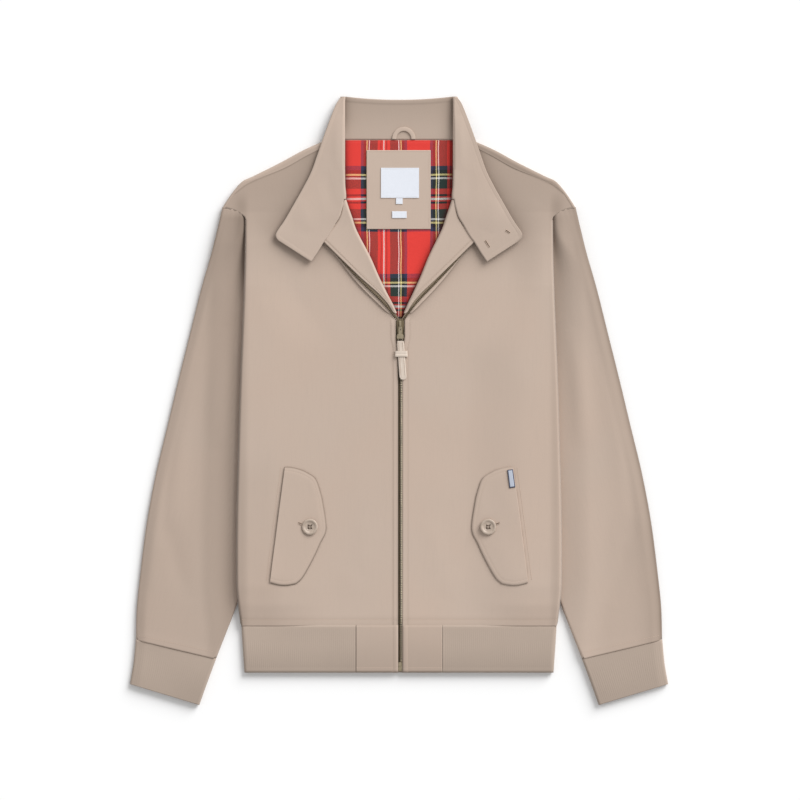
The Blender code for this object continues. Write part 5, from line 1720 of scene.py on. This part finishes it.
def slab(form, outline, low, high, bevel):
    """Adds a plate with this outline to a form, its upper and lower rims rounded."""
    line = [form.verts.new((x, y, low)) for x, y in outline]
    base = form.faces.new(line)
    grown = bmesh.ops.extrude_face_region(form, geom=[base])["geom"]
    top = [v for v in grown if isinstance(v, bmesh.types.BMVert)]
    bmesh.ops.translate(form, vec=(0, 0, high - low), verts=top)
    bmesh.ops.recalc_face_normals(form, faces=form.faces)
    if bevel:
        edges = {e for v in top + line for e in v.link_edges}
        rims = [e for e in edges if abs(e.verts[0].co.z - e.verts[1].co.z) < 1e-6]
        bmesh.ops.bevel(form, geom=rims, offset=bevel, segments=2, affect="EDGES")


def metal(name, plates, material):
    """One cast piece from plates, each an outline with its low and high sides and its bevel."""
    form = bmesh.new()
    for outline, low, high, bevel in plates:
        part = bmesh.new()
        slab(part, outline, low, high, bevel)
        made = bpy.data.meshes.new("plate")
        part.to_mesh(made)
        part.free()
        form.from_mesh(made)
        bpy.data.meshes.remove(made)
    bmesh.ops.scale(form, vec=(MM, MM, MM), verts=form.verts)
    mesh = bpy.data.meshes.new(name)
    form.to_mesh(mesh)
    form.free()
    piece = show(name, mesh, material)
    mesh.shade_flat()
    return piece


def mirrored(half):
    """A closed outline from its right half, listed from top to bottom."""
    return list(half) + [(-x, y) for x, y in half[::-1]]


def open_zip(side):
    """One half of the open zip, from the slider's mouth up along the lapel."""
    q = np.arange(0, 8.001, 0.1)
    roll, _ = place_on(ROLL, "x", "y", q)
    free, placket = (points_of(table, q) for table in (FACING_EDGE, PLACKET_EDGE))
    wide = np.linalg.norm(free - roll, axis=-1)[:, None]
    inner = mix(free, roll, np.minimum(0.45, 8.0 / wide))
    outer = mix(free, placket, 0.5)
    ends = mix(inner[:, None], outer[:, None], np.linspace(0, 1, 9)[None, :, None])
    lapel = with_height(ends, lapel_height(ends, OPEN_TAPE_Z, q[:, None]))
    share = np.linspace(0, 1, 11)[:-1, None, None]
    mouth_y, mouth_z = 106.2, 5.2
    mouth = laid(np.linspace(1.4, 4.9, 9), np.full(9, mouth_y), mouth_z)
    run_in = mix(mouth[None], lapel[:1], share)
    run_in[..., 2] = mix(mouth_z, lapel[0, 0, 2], np.sin(np.pi / 2 * share[..., 0]) ** 1.5)
    grid = np.concatenate([run_in, lapel])
    grid = lifted(grid, 0.12 * np.sin(np.linspace(0, 9, 9))[None, :])
    name = f"zip_open_{hand(side)}"
    piece = cloth(f"{name}_tape", [grid], THIN, zip_olive_pale, (15.0, 158.0), side)
    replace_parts(piece, name)
    edge = grid[:, -2]
    walked = walked_along(edge[:, :2])
    places = []
    for at in np.arange(1.5, walked[-1], TOOTH_PITCH):
        spot = spot_on(edge, walked, at)
        ahead = spot_on(edge, walked, at + 1)
        angle = np.arctan2(ahead[1] - spot[1], ahead[0] - spot[0]) - np.pi / 2
        places.append((spot * (side, 1, 1) + (0, 0, 0.5), angle * side))
    bars(f"{name}_teeth", places, (2.9, 1.15, 1.5), brass_dark)


def closed_zip():
    """Both tapes, the chain's two rows of teeth, and the box at its lower end."""
    x, y = np.meshgrid(np.linspace(0.9, 13.8, 7), np.arange(ZIP_LOW, 100.1, 2.0))
    tape = np.stack([x, y, TAPE_Z + 0.15 * np.sin(y / 9) * np.sin(x / 3)], -1)
    for side in (1, -1):
        name = f"zip_tape_{hand(side)}"
        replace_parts(cloth(f"{name}_woven", [tape], THIN, zip_olive, (12.9, 449.5), side), name)
    count = int((CHAIN_HIGH - CHAIN_LOW) / TOOTH_PITCH)
    # The row on the wearer's right is painted in shade with the darker brass, the other lit
    rows = (("left", 1.5, 2.6, 5.3, brass_teeth), ("right", -1.2, 2.5, 4.4, brass_dark))
    for name, x, wide, height, material in rows:
        places = [((x, CHAIN_LOW + (k + 0.5) * TOOTH_PITCH, height), 0.0) for k in range(count)]
        teeth = bars(f"zip_chain_{name}_teeth", places, (wide, 1.25, 2.1), material)
    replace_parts(teeth, "zip_chain")
    box = mirrored([(1.5, -338.4), (2.5, -339.6), (2.5, -349.0), (1.7, -350.2)])
    groove = mirrored([(0.35, -339.4), (0.35, -349.2)])
    stop = metal("zip_stop_box", [(box, 2.8, 6.7, 0.5), (groove, 6.7, 7.0, 0.1)], brass_worn)
    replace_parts(stop, "zip_bottom_stop")


def both_sides(corners, low, high, bevel):
    """A plate beside the middle, and its mirror image."""
    return [([(x * s, y) for x, y in corners][::s], low, high, bevel) for s in (1, -1)]


def slider():
    """The slider: two plates with a wedge and flanges between, its crown, and the pull's pin."""
    plate = mirrored([(2.6, 107.0), (4.4, 106.0), (4.9, 103.6), (4.8, 97.5), (3.9, 91.0),
                      (3.8, 84.0), (3.2, 81.3)])
    flange = [(4.8, 103), (4.8, 97.5), (3.85, 91), (3.75, 83), (3.0, 83), (3.1, 91), (4.0, 97.5),
              (4.0, 103)]
    wedge = [(1.6, 106.8), (-1.6, 106.8), (-0.4, 98.0), (0.4, 98.0)]
    plates = [(plate, 2.4, 3.5, 0.4), (plate, 5.7, 6.9, 0.45), (wedge, 3.5, 5.7, 0.0)]
    # The slider's body is in a darker copy of the brass, painted shade in its channels
    body = metal("zip_slider_body", plates + both_sides(flange, 3.5, 5.7, 0.0), brass_shaded)
    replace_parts(body, "zip_slider")
    bar = mirrored([(0.9, 105.0), (1.5, 104.2), (1.35, 98.0), (1.35, 97.2)])
    cover = mirrored([(1.9, 97.4), (2.4, 96.6), (2.4, 88.2), (4.3, 86.4), (4.5, 85.4), (4.5, 82.2),
                      (4.1, 81.4)])
    metal("zip_slider_crown", [(bar, 6.7, 9.8, 0.6), (cover, 6.9, 8.6, 0.45)], brass_worn)
    turn = np.radians(np.linspace(0, 360, 16, endpoint=False))
    rim = laid(0.3 + 0.95 * np.cos(turn), 93.2 + 0.95 * np.sin(turn), 8.63)
    # A dark disc of painted shade stands for the hole in the crown
    show("zip_slider_hole", new_mesh("zip_slider_hole", rim, [tuple(range(16))]), dark_gap)
    arms = both_sides([(3.5, 82.0), (4.7, 82.0), (4.7, 79.5), (3.5, 79.5)], 7.6, 8.5, 0.3)
    pin = (mirrored([(4.6, 80.45), (4.6, 79.8)]), 7.8, 8.4, 0.2)
    metal("zip_slider_arms", arms + [pin], brass_dark)


def zip_tape_cloth(name, colour):
    """Tightly woven cotton tape, its fine ribs running across it."""
    made, shader, wire = new_material(name)
    place = wire.node("ShaderNodeTexCoord", output=3)
    x, y, _ = axes(place)
    weave = (y * 7.0).sine() * 0.5 + (x * 9.0).sine() * 0.3
    fuzz = noise(place, 900.0, 3.0)
    feed(shader, {
        "Base Color": mix_colours(fuzz * 0.6 + weave * 0.2, colour, times(colour, 2.1)),
        "Roughness": 0.9 - fuzz * 0.08,
        "Normal": bump(weave + fuzz, 0.5, 0.0002),
    })
    return made


# Lighter and darker copies of one antique brass stand in for light and shade: the first is the lit
# row of teeth, the last two are painted shade on the slider's body, on the shaded row of teeth, on
# the open teeth and on the pull's arms
brass_teeth = brass("brass_teeth", (0.88, 0.76, 0.57), 0.5, 0.45)
brass_worn = brass("brass_worn", (0.50, 0.42, 0.29), 0.36)
brass_shaded = brass("brass_shaded", (0.23, 0.18, 0.11), 0.45, 0.8)
brass_dark = brass("brass_dark", (0.16, 0.12, 0.07), 0.45)
zip_olive = zip_tape_cloth("zip_olive", OLIVE)
zip_olive_pale = zip_tape_cloth("zip_olive_pale", OLIVE_PALE)
closed_zip()
slider()
for side in (1, -1):
    open_zip(side)

# ------------------------------------------------------------------ the zip's pull
# A strap of pale leather folded over the slider's pin and stitched along both edges, with a
# narrow leather keeper round it. It swings on the slider, and here lies down along the zip.
PULL_AXIS = (0.0, 80.1, 8.3)
PULL_LENGTH, PULL_WIDTH, PULL_THICK = 52.0, 9.2, 1.8
PULL_TILT = radians(4.2)
KEEPER_AT, KEEPER_LONG, KEEPER_WIDE = 14.4, 7.6, 16.6


def leather():
    """Smooth cowhide with a fine pebbled grain, pale and slightly greyed."""
    made, shader, wire = new_material("pull_leather")
    place = wire.node("ShaderNodeTexCoord", output=3)
    pebble = wire.node("ShaderNodeTexVoronoi", None, {"Vector": place, "Scale": 1500.0})
    cloud = noise(place, 120.0, 3.0)
    # Painted shade stored on the points darkens the leather
    dip = painted(wire, "hollow")
    base = mix_colours(cloud.within(0.35, 0.65), (0.66, 0.56, 0.475), (0.60, 0.505, 0.425))
    feed(shader, {
        "Base Color": mix_colours(dip, base, (0.10, 0.075, 0.055)),
        "Roughness": 0.52 + cloud * 0.12,
        "Normal": bump(pebble, 0.25, 0.0001),
    })
    return made


def moulded(name, upper, thick, material, hollow):
    """A solid strap under a grid of upper points, its underside flat and its rim rounded."""
    rows, columns, _ = upper.shape
    lower = upper.copy()
    lower[..., 2] = PULL_AXIS[2] - thick / 2
    points = np.concatenate([upper.reshape(-1, 3), lower.reshape(-1, 3)])
    corner, quads = faces_of(rows, columns)
    rim = np.concatenate([corner[0, :-1], corner[:-1, -1], corner[-1, :0:-1], corner[:0:-1, 0]])
    after = np.roll(rim, -1)
    under = rows * columns
    walls = np.stack([rim, rim + under, after + under, after], -1)
    mesh = new_mesh(name, points, np.concatenate([quads, quads[:, ::-1] + under, walls]).tolist())
    form = bmesh.new()
    form.from_mesh(mesh)
    bmesh.ops.recalc_face_normals(form, faces=form.faces)
    form.to_mesh(mesh)
    form.free()
    # hollow is the painted shade of each upper point
    shade = np.concatenate([hollow.ravel(), np.zeros(under)])
    mesh.attributes.new("hollow", "FLOAT", "POINT").data.foreach_set("value", shade)
    return show(name, mesh, material, "zip_pull")


def strap():
    """The strap with its round end, its stitches, and the ears that go round the pin."""
    half, round_from = PULL_WIDTH / 2, PULL_LENGTH - PULL_WIDTH / 2
    end = round_from + half * np.sin(np.radians(np.arange(4, 87, 4)))
    at = np.concatenate([np.linspace(1.4, round_from, 90), end])
    past = np.clip(at - round_from, 0, None)
    reach = np.sqrt(half ** 2 - past ** 2) * mix(0.9, 1.0, ease(1.4, 6.0, at))
    s = np.linspace(-1, 1, 31)
    across, down = reach[:, None] * s, np.repeat(at[:, None], 31, 1)
    to_end = np.clip(PULL_LENGTH - down, 0, None)
    from_rim = np.minimum(reach[:, None] * (1 - np.abs(s)), to_end)
    groove = bell(from_rim - 2.1, 0.45)
    puff = 0.55 * ease(0, 1.1, from_rim) - 0.32 * groove - 0.12 * ease(2.4, 4.0, from_rim)
    z = PULL_AXIS[2] + PULL_THICK / 2 - 0.45 + puff
    x = across + down * np.sin(PULL_TILT)
    grid = np.stack([x, PULL_AXIS[1] - down, z], -1)
    piece = moulded("pull_strap_leather", grid[::-1], PULL_THICK, pull_leather, 0.16 * groove[::-1])
    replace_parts(piece, "pull_strap")
    seams = [on_top(grid[3:90, nearest(s, share)], 0.1) for share in (-0.58, 0.58)]
    stitching("pull_strap_stitches", seams, cloth_thread, pitch=2.4, radius=0.2, body="zip_pull")
    ears = []
    for edge in (-3.2, 1.9):
        u, v = np.meshgrid(np.linspace(edge, edge + 1.3, 4), np.radians(np.arange(0, 361, 20)))
        ears.append(np.stack([u, PULL_AXIS[1] + np.cos(v), PULL_AXIS[2] + np.sin(v)], -1))
    loop = cloth("pull_strap_ears", ears, 0.5, pull_leather, None, body="zip_pull")
    # The ears under the crown are painted deep in shade
    paint_shade_wear_and_highlights(loop, 1, lambda x, y, z: 0.9 + 0 * x)


def keeper():
    """The band round the strap, squarish in section, with a welt across it."""
    middle = (KEEPER_AT + KEEPER_LONG / 2) * np.sin(PULL_TILT)
    down = np.linspace(KEEPER_AT, KEEPER_AT + KEEPER_LONG, 21)
    share = (down - KEEPER_AT) / KEEPER_LONG
    wide = KEEPER_WIDE / 2 * mix(0.93, 1.0, share)
    quarter = [90, 70, 50, 30, 15]
    over = [180 - a for a in quarter[:0:-1]] + quarter
    turn = np.radians([180] + over + [0] + [-a for a in over[::-1]])
    side_x = np.sign(np.cos(turn)) * np.abs(np.cos(turn)) ** 0.35
    x = wide[:, None] * side_x[None, :] + middle
    welt = 0.25 * bell(share - 0.78, 0.14) - 0.2 * bell(share - 0.5, 0.06)
    high = (1.45 + welt)[:, None] * np.sign(np.sin(turn)) * np.abs(np.sin(turn)) ** 0.6
    y = np.repeat(PULL_AXIS[1] - down[:, None], len(turn), 1)
    band = np.stack([x, y, PULL_AXIS[2] + high], -1)
    piece = cloth("pull_keeper_leather", [band[:, ::-1]], 0.5, pull_leather, None, closed=True,
                  body="zip_pull")
    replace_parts(piece, "pull_keeper")


pull_leather = leather()
strap()
keeper()

# ------------------------------------------------------------------ the zip's place
# The zip lies a little to the wearer's left of the middle, and the cloth beside it is drawn over
# with it, less and less as far as the hem tabs' outer edges.
ZIP_OFF, OFF_FROM, OFF_TO = 1.6, 9.0, 51.0


def drawn_over(piece):
    """Moves a piece's points over with the zip."""
    place = np.empty(len(piece.data.vertices) * 3)
    piece.data.vertices.foreach_get("co", place)
    place = place.reshape(-1, 3)
    share = np.clip((OFF_TO - np.abs(place[:, 0]) / MM) / (OFF_TO - OFF_FROM), 0, 1)
    place[:, 0] += ZIP_OFF * MM * share
    piece.data.vertices.foreach_set("co", place.ravel())
    piece.data.update()


for piece in shown:
    if piece.name.startswith(("front_", "facing_", "zip_", "hem_tab_", "pull_")):
        drawn_over(piece)

# ------------------------------------------------------------------ sizes
# The box of the solids as loaded and of the finished garment, as plain lists of numbers.
def plain(box):
    return [[float(v) for v in corner] for corner in box]
